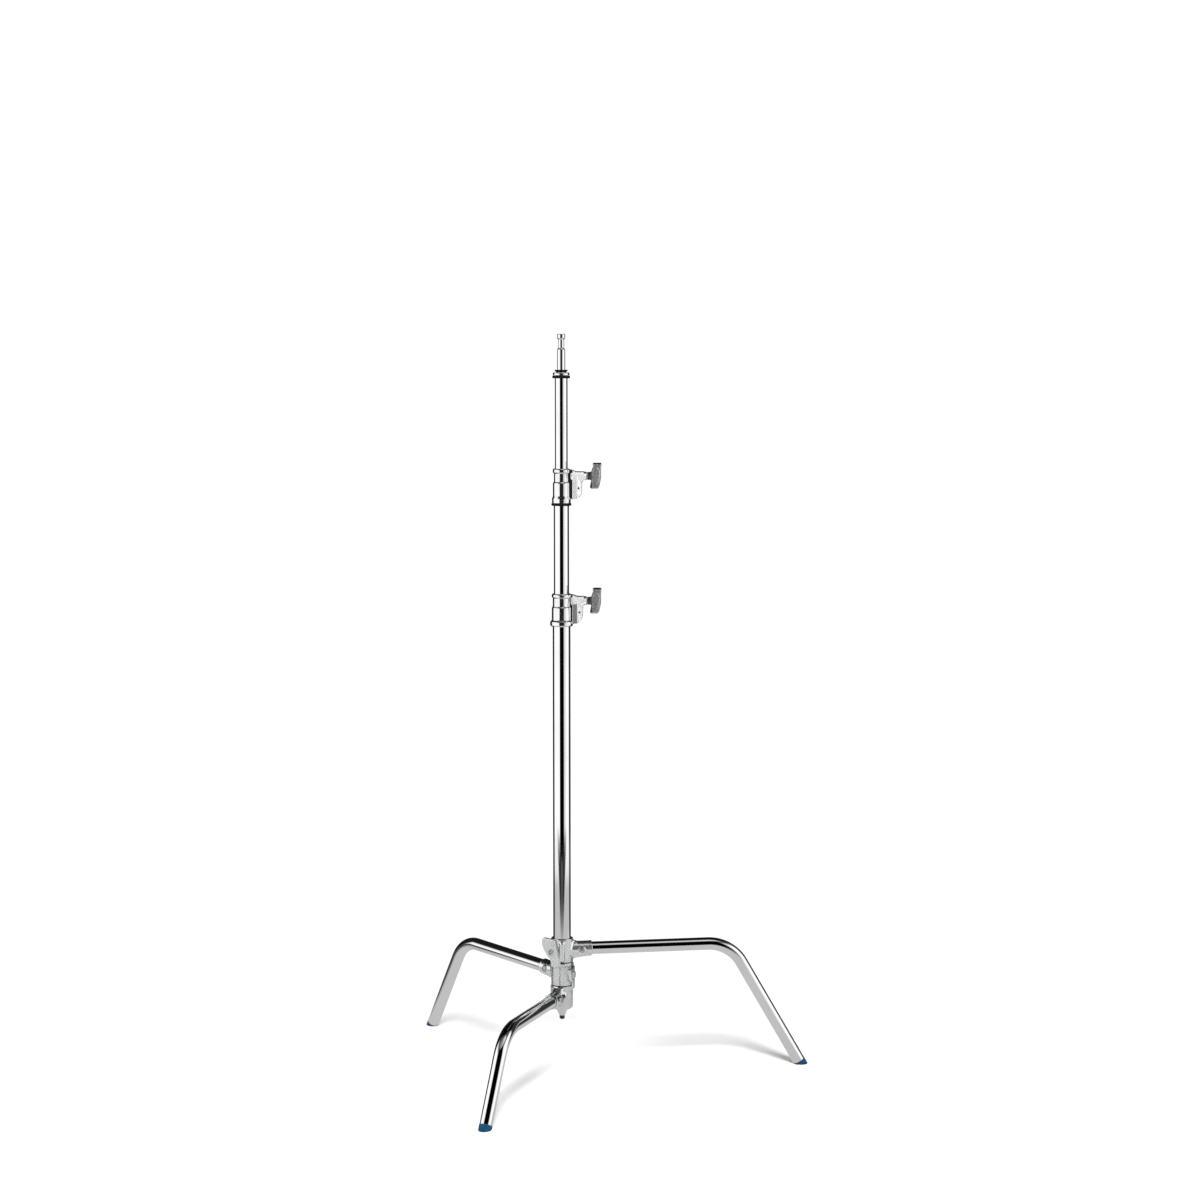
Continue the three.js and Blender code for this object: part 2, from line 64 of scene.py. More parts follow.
# the studio, in metres
CAMERA_AT = Vector((AXIS_X / 1000 - 0.6198, AXIS_Y / 1000 - 4.5916, 1.4045))
COLUMN_FOOT = Vector((AXIS_X / 1000, AXIS_Y / 1000, 0))
# level directions: from the column to the camera, and to the right as the camera sees it
TOWARD = Vector((CAMERA_AT.x - AXIS_X / 1000, CAMERA_AT.y - AXIS_Y / 1000, 0)).normalized()
SIDE = Vector((-TOWARD.y, TOWARD.x, 0))


# ------------------------------------------------------------------ mesh tools
def turn(vectors, azimuth):
    """Vectors turned about Z by an azimuth in degrees."""
    cosine, sine = cos(radians(azimuth)), sin(radians(azimuth))
    x, y, z = np.asarray(vectors, float).T
    return np.stack([x * cosine - y * sine, x * sine + y * cosine, z], 1)


def place(points, azimuth=0.0):
    """Local millimetres to metres in the row frame."""
    return (turn(points, azimuth) + [AXIS_X, AXIS_Y, 0.0]) / 1000


def add_object(vertices, faces, name="part"):
    """Smooth-shaded mesh object from vertices in metres."""
    mesh = bpy.data.meshes.new(name)
    mesh.from_pydata(vertices, [], faces)
    mesh.validate()
    mesh.update()
    mesh.polygons.foreach_set("use_smooth", [True] * len(mesh.polygons))
    mesh.update()
    ob = bpy.data.objects.new(name, mesh)
    bpy.context.scene.collection.objects.link(ob)
    return ob


def new_part(vertices, faces, normals=None, azimuth=0.0):
    """Part from local millimetres, with its own vertex normals if they are given."""
    ob = add_object(place(vertices, azimuth).tolist(), faces)
    if normals is not None:
        turned = turn(normals, azimuth)
        turned /= np.maximum(np.linalg.norm(turned, axis=1, keepdims=True), 1e-9)
        ob.data.normals_split_custom_set_from_vertices(turned.tolist())
        ob.data.update()
    return ob


def stand_in(node, ob):
    """The part replaces its CAD node, rides on that node's body and takes its material slot."""
    ob.name = node + "_visual"
    ob.data.name = ob.name
    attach(ob, BODY[node])
    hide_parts(node)
    ob.data.materials.clear()
    ob.data.materials.append(MATERIAL[SLOT[node]])


def remove(ob):
    mesh = ob.data
    bpy.data.objects.remove(ob)
    bpy.data.meshes.remove(mesh)


def rounded(points, radii, steps):
    """Corners of a closed polygon replaced by arcs, with one radius per point."""
    points = [np.array(point, float) for point in points]
    count = len(points)
    out = []
    for i, point in enumerate(points):
        back, ahead = points[i - 1] - point, points[(i + 1) % count] - point
        back_length, ahead_length = np.linalg.norm(back), np.linalg.norm(ahead)
        back, ahead = back / back_length, ahead / ahead_length
        half = acos(float(np.clip(back @ ahead, -1, 1))) / 2
        if radii[i] <= 0 or half > radians(89.0):
            out.append(point)
            continue
        # the arc may use up no more than about half of either edge
        reach = min(radii[i] / tan(half), back_length * 0.49, ahead_length * 0.49)
        radius = reach * tan(half)
        middle = (back + ahead) / np.linalg.norm(back + ahead)
        centre = point + middle * (radius / sin(half))
        start, end = point + back * reach - centre, point + ahead * reach - centre
        first = atan2(start[1], start[0])
        sweep_angle = (atan2(end[1], end[0]) - first + pi) % (2 * pi) - pi
        for k in range(steps + 1):
            angle = first + sweep_angle * k / steps
            out.append(centre + radius * np.array([cos(angle), sin(angle)]))
    return np.array(out)


def flatten_faces(ob):
    """Face-area weighted normals: big faces stay flat between small rounded edges."""
    mesh = ob.data
    mesh.update()
    normals = np.zeros((len(mesh.vertices), 3))
    for face in mesh.polygons:
        weighted = np.array(face.normal) * face.area
        for i in face.vertices:
            normals[i] += weighted
    normals = normals / np.maximum(np.linalg.norm(normals, axis=1, keepdims=True), 1e-12)
    mesh.normals_split_custom_set_from_vertices(normals.tolist())


# order of the columns that lays a shape drawn about Z along each axis
AXIS_ORDER = {"X": [2, 0, 1], "Y": [1, 2, 0], "Z": [0, 1, 2]}


def lathe(profile, radii=0.4, segments=96, arc=4, axis="Z", origin=(0, 0, 0), azimuth=0.0):
    """Closed profile of (radius, height) turned about an axis, its corners rounded.

    Points on the axis end it in a cap.
    """
    if not isinstance(radii, list):
        radii = [radii if point[0] > 1e-6 else 0 for point in profile]
    rings = rounded(profile, radii, arc)
    following = np.roll(rings, -1, 0)
    if (rings[:, 0] * following[:, 1] - following[:, 0] * rings[:, 1]).sum() < 0:
        rings = rings[::-1]
    rings = rings.tolist()
    verts, faces, index = [], [], []
    for radius, height in rings:
        if radius < 1e-6:
            index.append([len(verts)] * segments)
            verts.append((0.0, 0.0, height))
            continue
        index.append(list(range(len(verts), len(verts) + segments)))
        for k in range(segments):
            angle = 2 * pi * k / segments
            verts.append((radius * cos(angle), radius * sin(angle), height))
    for i in range(len(rings)):
        j = (i + 1) % len(rings)
        if rings[i][0] < 1e-6 and rings[j][0] < 1e-6:
            continue
        for k in range(segments):
            l = (k + 1) % segments
            # a quad with a corner on the axis becomes a triangle
            face = list(dict.fromkeys([index[i][k], index[i][l], index[j][l], index[j][k]]))
            if len(face) >= 3:
                faces.append(face)
    verts = np.array(verts, float)[:, AXIS_ORDER[axis]] + np.array(origin, float)
    ob = new_part(verts, faces, None, azimuth)
    flatten_faces(ob)
    return ob


def mirrored(half):
    """Half a profile, from the axis outwards, continued by its mirror image in height."""
    return half + [(radius, -height) for radius, height in half[::-1]]


def bridge(first, second, segments):
    """Quads between two rings that start at vertices first and second."""
    following = [(k, (k + 1) % segments) for k in range(segments)]
    return [[first + k, second + k, second + l, first + l] for k, l in following]


def sweep(stations, tangents, outer, inner, segments, azimuth, lip):
    """Hollow round tube through stations in the local XZ plane, with rounded ends."""
    lip_steps = 4
    verts, normals = [], []

    def ring(centre, tangent, radius, outward, along):
        upright = np.array([-tangent[2], 0, tangent[0]])
        for k in range(segments):
            angle = 2 * pi * k / segments
            spoke = upright * cos(angle) + np.array([0, 1.0, 0]) * sin(angle)
            verts.append(centre + spoke * radius)
            normals.append(spoke * outward + tangent * along)

    def lip_rings(end, inset, radius, first):
        """Quarter round at one end: its normal turns a right angle on from first."""
        for k in range(lip_steps + 1):
            angle = first + pi / 2 * k / lip_steps
            outward, along = cos(angle), sin(angle)
            centre = stations[end] + tangents[end] * (inset + lip * along)
            ring(centre, tangents[end], radius + lip * outward, outward, along)

    between = list(zip(stations[1:-1], tangents[1:-1]))
    lip_rings(0, lip, outer - lip, -pi / 2)
    for centre, tangent in between:
        ring(centre, tangent, outer, 1, 0)
    lip_rings(-1, -lip, outer - lip, 0.0)
    lip_rings(-1, -lip, inner + lip, pi / 2)
    for centre, tangent in between[::-1]:
        ring(centre, tangent, inner, -1, 0)
    lip_rings(0, lip, inner + lip, pi)
    faces = []
    for start in range(0, len(verts), segments):
        faces += bridge(start, (start + segments) % len(verts), segments)
    return new_part(np.array(verts), faces, np.array(normals), azimuth)


# ------------------------------------------------------------------ distance fields
# A field is negative inside its shape. "blend" is the width over which two surfaces merge.
def union(first, second, blend):
    overlap = np.maximum(blend - np.abs(first - second), 0) / blend
    return np.minimum(first, second) - overlap * overlap * blend * 0.25


def common(first, second, blend):
    return -union(-first, -second, blend)


def cut(shape, hole, blend):
    return common(shape, -hole, blend)


def edge(first, second, radius):
    """What two one-sided distances have in common, with a rounded edge between them."""
    first, second = first + radius, second + radius
    inside = np.minimum(np.maximum(first, second), 0)
    return inside + np.hypot(np.maximum(first, 0), np.maximum(second, 0)) - radius


def slab(height, low, high):
    return np.abs(height - (low + high) / 2) - (high - low) / 2


def cylinder(across, up, along, radius, start, end, edge_radius):
    return edge(np.hypot(across, up) - radius, slab(along, start, end), edge_radius)


def polygon(across, up, points):
    """Exact signed distance to a polygon."""
    points = np.asarray(points, float)
    squared = np.full(across.shape, 1e18)
    sign = np.ones(across.shape)
    j = len(points) - 1
    for i in range(len(points)):
        side_x, side_z = points[j] - points[i]
        x, z = across - points[i][0], up - points[i][1]
        share = (x * side_x + z * side_z) / (side_x * side_x + side_z * side_z)
        share = np.clip(share, 0, 1)
        gap_x, gap_z = x - side_x * share, z - side_z * share
        squared = np.minimum(squared, gap_x * gap_x + gap_z * gap_z)
        above, below = up >= points[i][1], up < points[j][1]
        leftward = side_x * z > side_z * x
        crossed = (above & below & leftward) | (~above & ~below & ~leftward)
        sign = np.where(crossed, -sign, sign)
        j = i
    return sign * np.sqrt(squared)


def prism(across, up, along, points, half, edge_radius):
    return edge(polygon(across, up, points), np.abs(along) - half, edge_radius)


BLOCK = 4                                                # grid cells along a coarse block


def sample_field(field, low, high, cell):
    """Field on a grid: exact in blocks near the surface, one value per block elsewhere."""
    blocks = np.ceil((high - low) / (cell * BLOCK)).astype(int)
    centres = [low[i] + cell * (np.arange(blocks[i]) * BLOCK + BLOCK / 2) for i in range(3)]
    grid = np.meshgrid(*centres, indexing="ij")
    coarse = field(*(values.ravel() for values in grid)).reshape(grid[0].shape)
    reach = cell * (BLOCK / 2) * sqrt(3) * 1.25 + 0.3
    samples = np.empty(blocks * BLOCK + 1, np.float32)
    samples[:-1, :-1, :-1] = coarse.repeat(BLOCK, 0).repeat(BLOCK, 1).repeat(BLOCK, 2)
    samples[-1] = samples[-2]
    samples[:, -1] = samples[:, -2]
    samples[:, :, -1] = samples[:, :, -2]
    near = np.argwhere(np.abs(coarse) < reach)
    offsets = np.stack(np.meshgrid(*[np.arange(BLOCK + 1)] * 3, indexing="ij"), -1)
    offsets = offsets.reshape(-1, 3)
    batch = 2000
    for start in range(0, len(near), batch):
        index = (near[start:start + batch, None, :] * BLOCK + offsets[None]).reshape(-1, 3)
        points = low + index * cell
        samples[tuple(index.T)] = field(*points.T)
    return samples


def crossing_means(samples, cells):
    """For each cell, the mean place where its edges cross the surface, in cell units."""
    total = np.zeros((len(cells), 3))
    hits = np.zeros(len(cells))
    for corner in np.ndindex(2, 2, 2):
        for axis in range(3):
            if corner[axis]:
                continue
            other = list(corner)
            other[axis] = 1
            here = samples[tuple((cells + np.array(corner)).T)]
            there = samples[tuple((cells + np.array(other)).T)]
            cross = (here < 0) != (there < 0)
            share = np.where(cross, here / np.where(cross, here - there, 1), 0)
            point = np.tile(np.array(corner, float), (len(cells), 1))
            point[:, axis] += share
            total += np.where(cross[:, None], point, 0)
            hits += cross
    return total / hits[:, None]


def net_quads(inside, ids):
    """One quad round every grid edge that crosses the surface, facing outwards."""
    size = inside.shape
    quads = []
    for axis in range(3):
        first, second = [i for i in range(3) if i != axis]
        part = [slice(None)] * 3
        part[axis] = slice(0, size[axis] - 1)
        start_in = inside[tuple(part)]
        part[axis] = slice(1, size[axis])
        edges = np.argwhere(start_in != inside[tuple(part)])
        edges = edges[(edges[:, first] > 0) & (edges[:, second] > 0)
                      & (edges[:, first] < size[first] - 1)
                      & (edges[:, second] < size[second] - 1)]
        ring = []
        for step_first, step_second in ((-1, -1), (0, -1), (0, 0), (-1, 0)):
            cell = edges.copy()
            cell[:, first] += step_first
            cell[:, second] += step_second
            ring.append(ids[tuple(cell.T)])
        quad = np.stack(ring, 1)
        forward = start_in[tuple(edges.T)]
        if axis == 1:
            forward = ~forward
        quads.append(np.where(forward[:, None], quad, quad[:, ::-1]))
    return np.concatenate(quads)


def gradient(field, points):
    reach = 0.03
    slope = np.empty_like(points)
    for i in range(3):
        offset = np.zeros(3)
        offset[i] = reach
        slope[:, i] = (field(*(points + offset).T) - field(*(points - offset).T)) / (2 * reach)
    return slope


def net(field, low, high, cell, azimuth=0.0):
    """Surface of a field as an even quad mesh.

    Surface nets, then each point is moved on to the surface and takes the field's own normal.
    """
    low, high = np.array(low, float), np.array(high, float)
    samples = sample_field(field, low, high, cell)
    inside = samples < 0
    size = inside.shape
    count = np.zeros([n - 1 for n in size], np.int8)
    for i, j, k in np.ndindex(2, 2, 2):
        count += inside[i:size[0] - 1 + i, j:size[1] - 1 + j, k:size[2] - 1 + k]
    cells = np.argwhere((count > 0) & (count < 8))
    ids = np.full(count.shape, -1, np.int64)
    ids[tuple(cells.T)] = np.arange(len(cells))
    points = low + (cells + crossing_means(samples, cells)) * cell
    quads = net_quads(inside, ids)
    for _ in range(2):
        slope = gradient(field, points)
        depth = field(*points.T)
        move = slope * (depth / np.maximum((slope * slope).sum(1), 0.05))[:, None]
        length = np.linalg.norm(move, axis=1, keepdims=True)
        points = points - move * np.minimum(1, 0.5 * cell / np.maximum(length, 1e-9))
    normals = gradient(field, points)
    used = np.unique(quads)
    renumber = np.full(len(points), -1)
    renumber[used] = np.arange(len(used))
    return new_part(points[used], renumber[quads].tolist(), normals[used], azimuth)


# ------------------------------------------------------------------ shader tools
DEGREES = 180 / pi


class Value:
    """Output socket of a shader node; arithmetic on it adds math nodes."""

    def __init__(self, graph, socket):
        self.graph = graph
        self.socket = socket

    def math(self, operation, *others):
        return self.graph.math(operation, self, *others)

    def __add__(self, other):
        return self.math("ADD", other)

    def __sub__(self, other):
        return self.math("SUBTRACT", other)

    def __rsub__(self, other):
        return self.graph.math("SUBTRACT", other, self)

    def __mul__(self, other):
        return self.math("MULTIPLY", other)

    def max(self, other):
        return self.math("MAXIMUM", other)

    def hypot(self, other):
        return (self * self + other * other).math("SQRT", 0.0)

    def scaled(self, by, plus):
        return self.math("MULTIPLY_ADD", by, plus)

    def step(self, span, to=(0.0, 1.0)):
        """Smooth step between the two levels of to, as the value crosses span."""
        inputs = dict(enumerate((self, *span, *to)))
        return self.graph.add("ShaderNodeMapRange", inputs, interpolation_type="SMOOTHSTEP")


def colour(value):
    """RGBA from an RGB tuple or a grey level; a Value stays as it is."""
    if isinstance(value, Value):
        return value
    return (value if isinstance(value, tuple) else (value,) * 3) + (1.0,)


class Graph:
    """Emptied node tree of a material or world, with its output node."""

    def __init__(self, owner, output_kind):
        owner.use_nodes = True
        self.tree = owner.node_tree
        self.tree.nodes.clear()
        self.output = self.tree.nodes.new(output_kind)

    def put(self, value, socket):
        if isinstance(value, Value):
            self.tree.links.new(value.socket, socket)
        else:
            socket.default_value = value

    def node(self, kind, inputs=None, **settings):
        node = self.tree.nodes.new(kind)
        for name, value in settings.items():
            setattr(node, name, value)
        for key, value in (inputs or {}).items():
            self.put(value, node.inputs[key])
        return node

    def add(self, kind, inputs=None, out=0, **settings):
        return Value(self, self.node(kind, inputs, **settings).outputs[out])

    def math(self, operation, *values):
        return self.add("ShaderNodeMath", dict(enumerate(values)), operation=operation)

    def split(self, vector):
        node = self.node("ShaderNodeSeparateXYZ", {"Vector": vector})
        return [Value(self, socket) for socket in node.outputs]

    def mix(self, factor, first, second):
        inputs = {0: factor, 6: colour(first), 7: colour(second)}
        return self.add("ShaderNodeMix", inputs, out=2, data_type="RGBA")

    def mix_shader(self, factor, first, second):
        return self.add("ShaderNodeMixShader", {0: factor, 1: first, 2: second})

    def white(self, kind, strength):
        return self.add(kind, {"Color": (1, 1, 1, 1), "Strength": strength})

    def rays(self):
        """Whether a ray comes from the camera, and whether it is a glossy reflection."""
        outputs = self.node("ShaderNodeLightPath").outputs
        return [Value(self, outputs[name]) for name in ("Is Camera Ray", "Is Glossy Ray")]


MATERIAL = {}


class Surface(Graph):
    """Material with a Principled shader, textured by object coordinates."""

    def __init__(self, name):
        MATERIAL[name] = bpy.data.materials.new(name)
        super().__init__(MATERIAL[name], "ShaderNodeOutputMaterial")
        self.principled = self.node("ShaderNodeBsdfPrincipled")
        self.shader = Value(self, self.principled.outputs[0])
        self.put(self.shader, self.output.inputs[0])
        self.position = self.add("ShaderNodeTexCoord", out="Object")
        self.normal = None

    def shade(self, **inputs):
        for name, value in inputs.items():
            self.put(value, self.principled.inputs[name.replace("_", " ")])

    def noise(self, scale, detail, rough=0.5, stretch=None):
        vector = self.position
        if stretch is not None:
            vector = self.add("ShaderNodeMapping", {"Vector": vector, "Scale": stretch})
        return self.add("ShaderNodeTexNoise", {"Vector": vector, "Scale": scale,
                                               "Detail": detail, "Roughness": rough})

    def bump(self, height, strength, distance):
        """Relief on top of any earlier bump; distance in metres."""
        inputs = {"Strength": strength, "Distance": distance, "Height": height}
        if self.normal is not None:
            inputs["Normal"] = self.normal
        self.normal = self.add("ShaderNodeBump", inputs)
        self.shade(Normal=self.normal)

    def upward(self):
        return self.split(self.add("ShaderNodeNewGeometry", out="Normal"))[2]

    def from_column(self):
        """x and y from the column axis, height, and distance from the axis, in metres."""
        x, y, z = self.split(self.position)
        x, y = x - AXIS_X / 1000, y - AXIS_Y / 1000
        return x, y, z, x.hypot(y)


# ------------------------------------------------------------------ materials
def chrome_tube():
    """Polished chrome: near mirror, faint haze, wiping marks and rubbing lines."""
    s = Surface("chrome_tube")
    haze = s.noise(scale=9.0, detail=3.0, rough=0.55)
    wiped = s.noise(scale=260.0, detail=2.0, rough=0.6, stretch=(1, 1, 0.06))
    rings = s.noise(scale=420.0, detail=1.0, stretch=(0.05, 0.05, 1))
    rough = haze.step(span=(0.42, 0.75)).scaled(by=0.045, plus=0.035)
    rough = rough + wiped.step(span=(0.62, 0.78)) * 0.05
    rough = rough + rings.step(span=(0.66, 0.8)) * 0.04
    tint = s.mix(haze.step(span=(0.4, 0.8)), (0.93, 0.935, 0.94), (0.87, 0.88, 0.89))
    s.shade(Roughness=rough, Base_Color=tint, Metallic=1.0)
    s.bump(s.noise(scale=14.0, detail=1.0), strength=0.05, distance=0.002)
    s.bump(wiped, strength=0.02, distance=0.0002)


def chrome_casting():
    """Plated casting: satin over a cast skin, dull in the recesses, polished on the barrels, with
    painted shade in the recesses, on the collar webs and on faces that look up.
    """
    s = Surface("chrome_casting")
    barrel_edge = (0.0233, 0.0242)                       # distance from the axis, metres
    above_hubs = (0.5, 0.52)                             # height, metres
    skin = s.noise(scale=1100.0, detail=3.0, rough=0.6)
    wave = s.noise(scale=90.0, detail=2.0)
    blot = s.noise(scale=45.0, detail=3.0, rough=0.55)
    _, _, z, distance = s.from_column()

    # where: turned barrels, collar arms, lowest part of the bottom hub, recesses
    turned = distance.step(span=barrel_edge, to=(1.0, 0.0)) * z.step(span=above_hubs)
    arm = distance.step(span=barrel_edge) * z.step(span=above_hubs)
    foot = z.step(span=(0.172, 0.195), to=(1.0, 0.0))
    open_sky = s.add("ShaderNodeAmbientOcclusion", {"Distance": 0.010}, out="AO",
                     samples=4, only_local=True)
    # how hemmed in a point is by nearby surfaces: makes the recesses rougher and carries painted
    # shade into them
    occluded_recess = 1.0 - open_sky.step(span=(0.20, 0.80))

    satin = blot.step(span=(0.35, 0.7)).scaled(by=0.05, plus=foot.scaled(by=-0.09, plus=0.14))
    satin = arm.scaled(by=0.13, plus=satin)
    bright = blot.step(span=(0.35, 0.7)).scaled(by=0.03, plus=0.045)
    rough = satin * (1.0 - turned) + bright * turned + occluded_recess * 0.12

    casting_tone = s.mix(blot.step(span=(0.4, 0.75)), (0.88, 0.885, 0.89), (0.79, 0.795, 0.80))
    casting_tone = s.mix(arm, casting_tone, 0.93)
    # painted shade on the web between barrel and lobe, where its recess lies in shade; stronger
    # on the lower collar
    web = arm * distance.step(span=(0.0312, 0.0336), to=(1.0, 0.0))
    web_low = (z.step(span=(0.941, 0.946), to=(1.0, 0.0))
               * z.step(span=(0.88, 0.90), to=(0.0, 0.8)))
    web_high = (z.step(span=(1.181, 1.187), to=(1.0, 0.0))
                * z.step(span=(1.0, 1.1), to=(0.0, 0.22)))
    casting_tone = s.mix(web * web_low.max(web_high), casting_tone, (0.08, 0.08, 0.082))
    # painted shade: darker on faces that look up
    up = s.upward()
    on_arm = up.step(span=(0.42, 0.62), to=(0.0, 0.95)) * arm
    on_hub = up.step(span=(0.62, 0.80), to=(0.0, 0.75)) * (1.0 - turned.max(arm))
    # painted shade: near black in the recesses and on faces that look up
    painted_shade = (occluded_recess * 0.85).max(on_arm.max(on_hub))

    s.shade(Roughness=rough,
            Base_Color=s.mix(painted_shade, casting_tone, (0.05, 0.05, 0.052)),
            Metallic=turned.max(foot).scaled(by=0.08, plus=0.91) - arm * 0.29,
            Specular_IOR_Level=0.6)
    cast = 1.0 - turned * 0.9
    s.bump(wave * foot.scaled(by=1.8, plus=cast), strength=0.30, distance=0.0010)
    s.bump(skin * cast, strength=0.06, distance=0.00010)


def satin_handle():
    """Satin cast aluminium: tumbled grain, brighter worn edges, with painted shade on top and at
    the neck.
    """
    s = Surface("satin_handle")
    grain = s.noise(scale=1500.0, detail=3.0, rough=0.65)
    streak = s.noise(scale=420.0, detail=2.0, rough=0.6, stretch=(1, 1, 0.12))
    blot = s.noise(scale=70.0, detail=3.0)
    worn = s.add("ShaderNodeNewGeometry", out="Pointiness").step(span=(0.52, 0.60))
    rough = grain.step(span=(0.3, 0.7)).scaled(by=0.08, plus=0.26) - worn * 0.12
    body = s.mix(streak.step(span=(0.35, 0.7)), (0.46, 0.465, 0.47), (0.66, 0.665, 0.67))
    body = s.mix(blot.step(span=(0.45, 0.75)) * 0.35, body, (0.32, 0.32, 0.325))
    body = s.mix(worn * 0.8, body, (0.86, 0.86, 0.87))
    # painted shade: near black on faces that look up and at the neck, next to the washers
    top = s.upward().step(span=(0.12, 0.32), to=(0.0, 0.95))
    distance = s.from_column()[3]
    neck = distance.step(span=(0.0605, 0.0622), to=(0.85, 0.0))
    s.shade(Roughness=rough, Base_Color=s.mix(top.max(neck), body, 0.03), Metallic=0.86)
    s.bump(streak, strength=0.12, distance=0.00025)
    s.bump(grain, strength=0.14, distance=0.00010)


def steel():
    """Turned steel with fine tool lines; the stud on top is polished brighter."""
    s = Surface("steel")
    lines = s.noise(scale=2600.0, detail=1.0, stretch=(0.06, 0.06, 1))
    blot = s.noise(scale=130.0, detail=3.0)
    stud_height = s.split(s.position)[2].step(span=(1.3, 1.32))
    rough = lines.step(span=(0.3, 0.7)).scaled(by=0.06, plus=0.26)
    rough = rough + blot.step(span=(0.5, 0.8)) * 0.05 - stud_height * 0.24
    dull = s.mix(blot.step(span=(0.4, 0.8)), (0.52, 0.525, 0.53), (0.42, 0.425, 0.43))
    s.shade(Roughness=rough,
            Base_Color=s.mix(stud_height, dull, (0.92, 0.925, 0.93)),
            Metallic=stud_height.scaled(by=0.10, plus=0.90))
    s.bump(lines * (1.0 - stud_height), strength=0.12, distance=0.00005)


def mottled(name, scale, detail, roughness, span, colours, strength, distance, **shading):
    """One noise drives the colour, the relief and the roughness, given as (spread, base)."""
    s = Surface(name)
    mottle = s.noise(scale=scale, detail=detail, rough=0.6)
    spread, base = roughness
    s.shade(Roughness=mottle.scaled(by=spread, plus=base),
            Base_Color=s.mix(mottle.step(span=span), *colours), **shading)
    s.bump(mottle, strength=strength, distance=distance)


def spring_steel():
    mottled("spring_steel", scale=600.0, detail=3.0, roughness=(0.2, 0.22), span=(0.4, 0.7),
            colours=[(0.34, 0.34, 0.35), (0.22, 0.21, 0.20)],
            strength=0.2, distance=0.00006, Metallic=1.0)


def black_rubber():
    """Moulded rubber: dusty bloom, fine pitting."""
    s = Surface("black_rubber")
    pits = s.noise(scale=1800.0, detail=3.0, rough=0.7)
    bloom = s.noise(scale=160.0, detail=3.0, rough=0.6)
    s.shade(Roughness=bloom.scaled(by=0.25, plus=0.48),
            Base_Color=s.mix(bloom.step(span=(0.45, 0.8)), 0.004, 0.012),
            Specular_IOR_Level=0.12)
    s.bump(pits, strength=0.35, distance=0.00012)


def black_fibre():
    mottled("black_fibre", scale=1500.0, detail=2.0, roughness=(0.2, 0.38), span=(0.4, 0.7),
            colours=[(0.020, 0.020, 0.022), (0.045, 0.045, 0.048)],
            strength=0.2, distance=0.00008)


def nylon():
    mottled("nylon", scale=240.0, detail=3.0, roughness=(0.15, 0.32), span=(0.35, 0.7),
            colours=[(0.66, 0.62, 0.53), (0.58, 0.54, 0.45)],
            strength=0.1, distance=0.0001, Subsurface_Weight=0.15, Subsurface_Scale=0.002)


def blue_plastic():
    """Moulded feet: spark-eroded texture, scuffed and dusty at the sole."""
    s = Surface("blue_plastic")
    grain = s.noise(scale=1300.0, detail=3.0, rough=0.65)
    blot = s.noise(scale=120.0, detail=3.0, rough=0.55)
    sole = s.split(s.position)[2].step(span=(0.0005, 0.0045), to=(1.0, 0.0))
    marks = s.noise(scale=700.0, detail=2.0, rough=0.6, stretch=(1, 1, 0.3))
    scuff = sole * marks.step(span=(0.45, 0.65))
    blue = s.mix(blot.step(span=(0.35, 0.7)), (0.0040, 0.042, 0.088), (0.0060, 0.056, 0.120))
    s.shade(Roughness=grain.scaled(by=0.18, plus=0.30),
            Base_Color=s.mix(scuff * 0.30, blue, (0.03, 0.07, 0.11)),
            Specular_IOR_Level=0.22)
    s.bump(grain, strength=0.25, distance=0.0001)


for make_material in (chrome_tube, chrome_casting, satin_handle, steel, spring_steel,
                      black_rubber, black_fibre, nylon, blue_plastic):
    make_material()

# ------------------------------------------------------------------ tubes
# node: outer radius, inner radius, bottom, top
TUBES = {
    "column_tube": (COLUMN_R, 16.0, 152.3, 933.2),
    "middle_riser_tube": (MIDDLE_R, 13.4, 350.0, 1177.6),
    "top_riser_tube": (TOP_R, 11.0, 565.4, 1387.6),
}
for node, (outer, inner, bottom, top) in TUBES.items():
    outline = [(inner, bottom), (outer, bottom), (outer, top), (inner, top)]
    stand_in(node, lathe(outline, 0.45, segments=128))

# ------------------------------------------------------------------ legs
# height of the level part, distance out to where its axis meets the slope, azimuth
LEGS = {
    "top": (254.3, 340.5, 0.0),
    "middle": (208.0, 335.0, 120.0),
    "bottom": (161.1, 284.5, 240.0),
}
LEG_SLOPE = 60                                           # degrees below level
LEG_BEND_R = 80.0
LEG_END_Z = 7.45
RIVET_X = 38                                             # rivet through socket and leg


def leg_end_x(key):
    z, corner, _ = LEGS[key]
    slope = radians(LEG_SLOPE)
    return corner + (z - LEG_END_Z) / sin(slope) * cos(slope)


def leg_tube(key):
    z, corner, azimuth = LEGS[key]
    bend_start = corner - LEG_BEND_R * tan(radians(LEG_SLOPE / 2))
    bend_steps = 40
    # stations: x, z, angle below level
    path = [(24.4, z, 0.0), (60, z, 0.0), (bend_start - 6, z, 0.0)]
    for i in range(bend_steps + 1):
        angle = radians(LEG_SLOPE * i / bend_steps)
        path.append((bend_start + LEG_BEND_R * sin(angle),
                     z - LEG_BEND_R * (1 - cos(angle)), angle))
    slope = radians(LEG_SLOPE)
    for back in (30.0, 0.0):
        path.append((leg_end_x(key) - back * cos(slope), LEG_END_Z + back * sin(slope), slope))
    stations = np.array([(x, 0, height) for x, height, _ in path], float)
    tangents = np.array([(cos(angle), 0, -sin(angle)) for _, _, angle in path], float)
    return sweep(stations, tangents, LEG_R, 11.0, segments=80, azimuth=azimuth, lip=0.4)


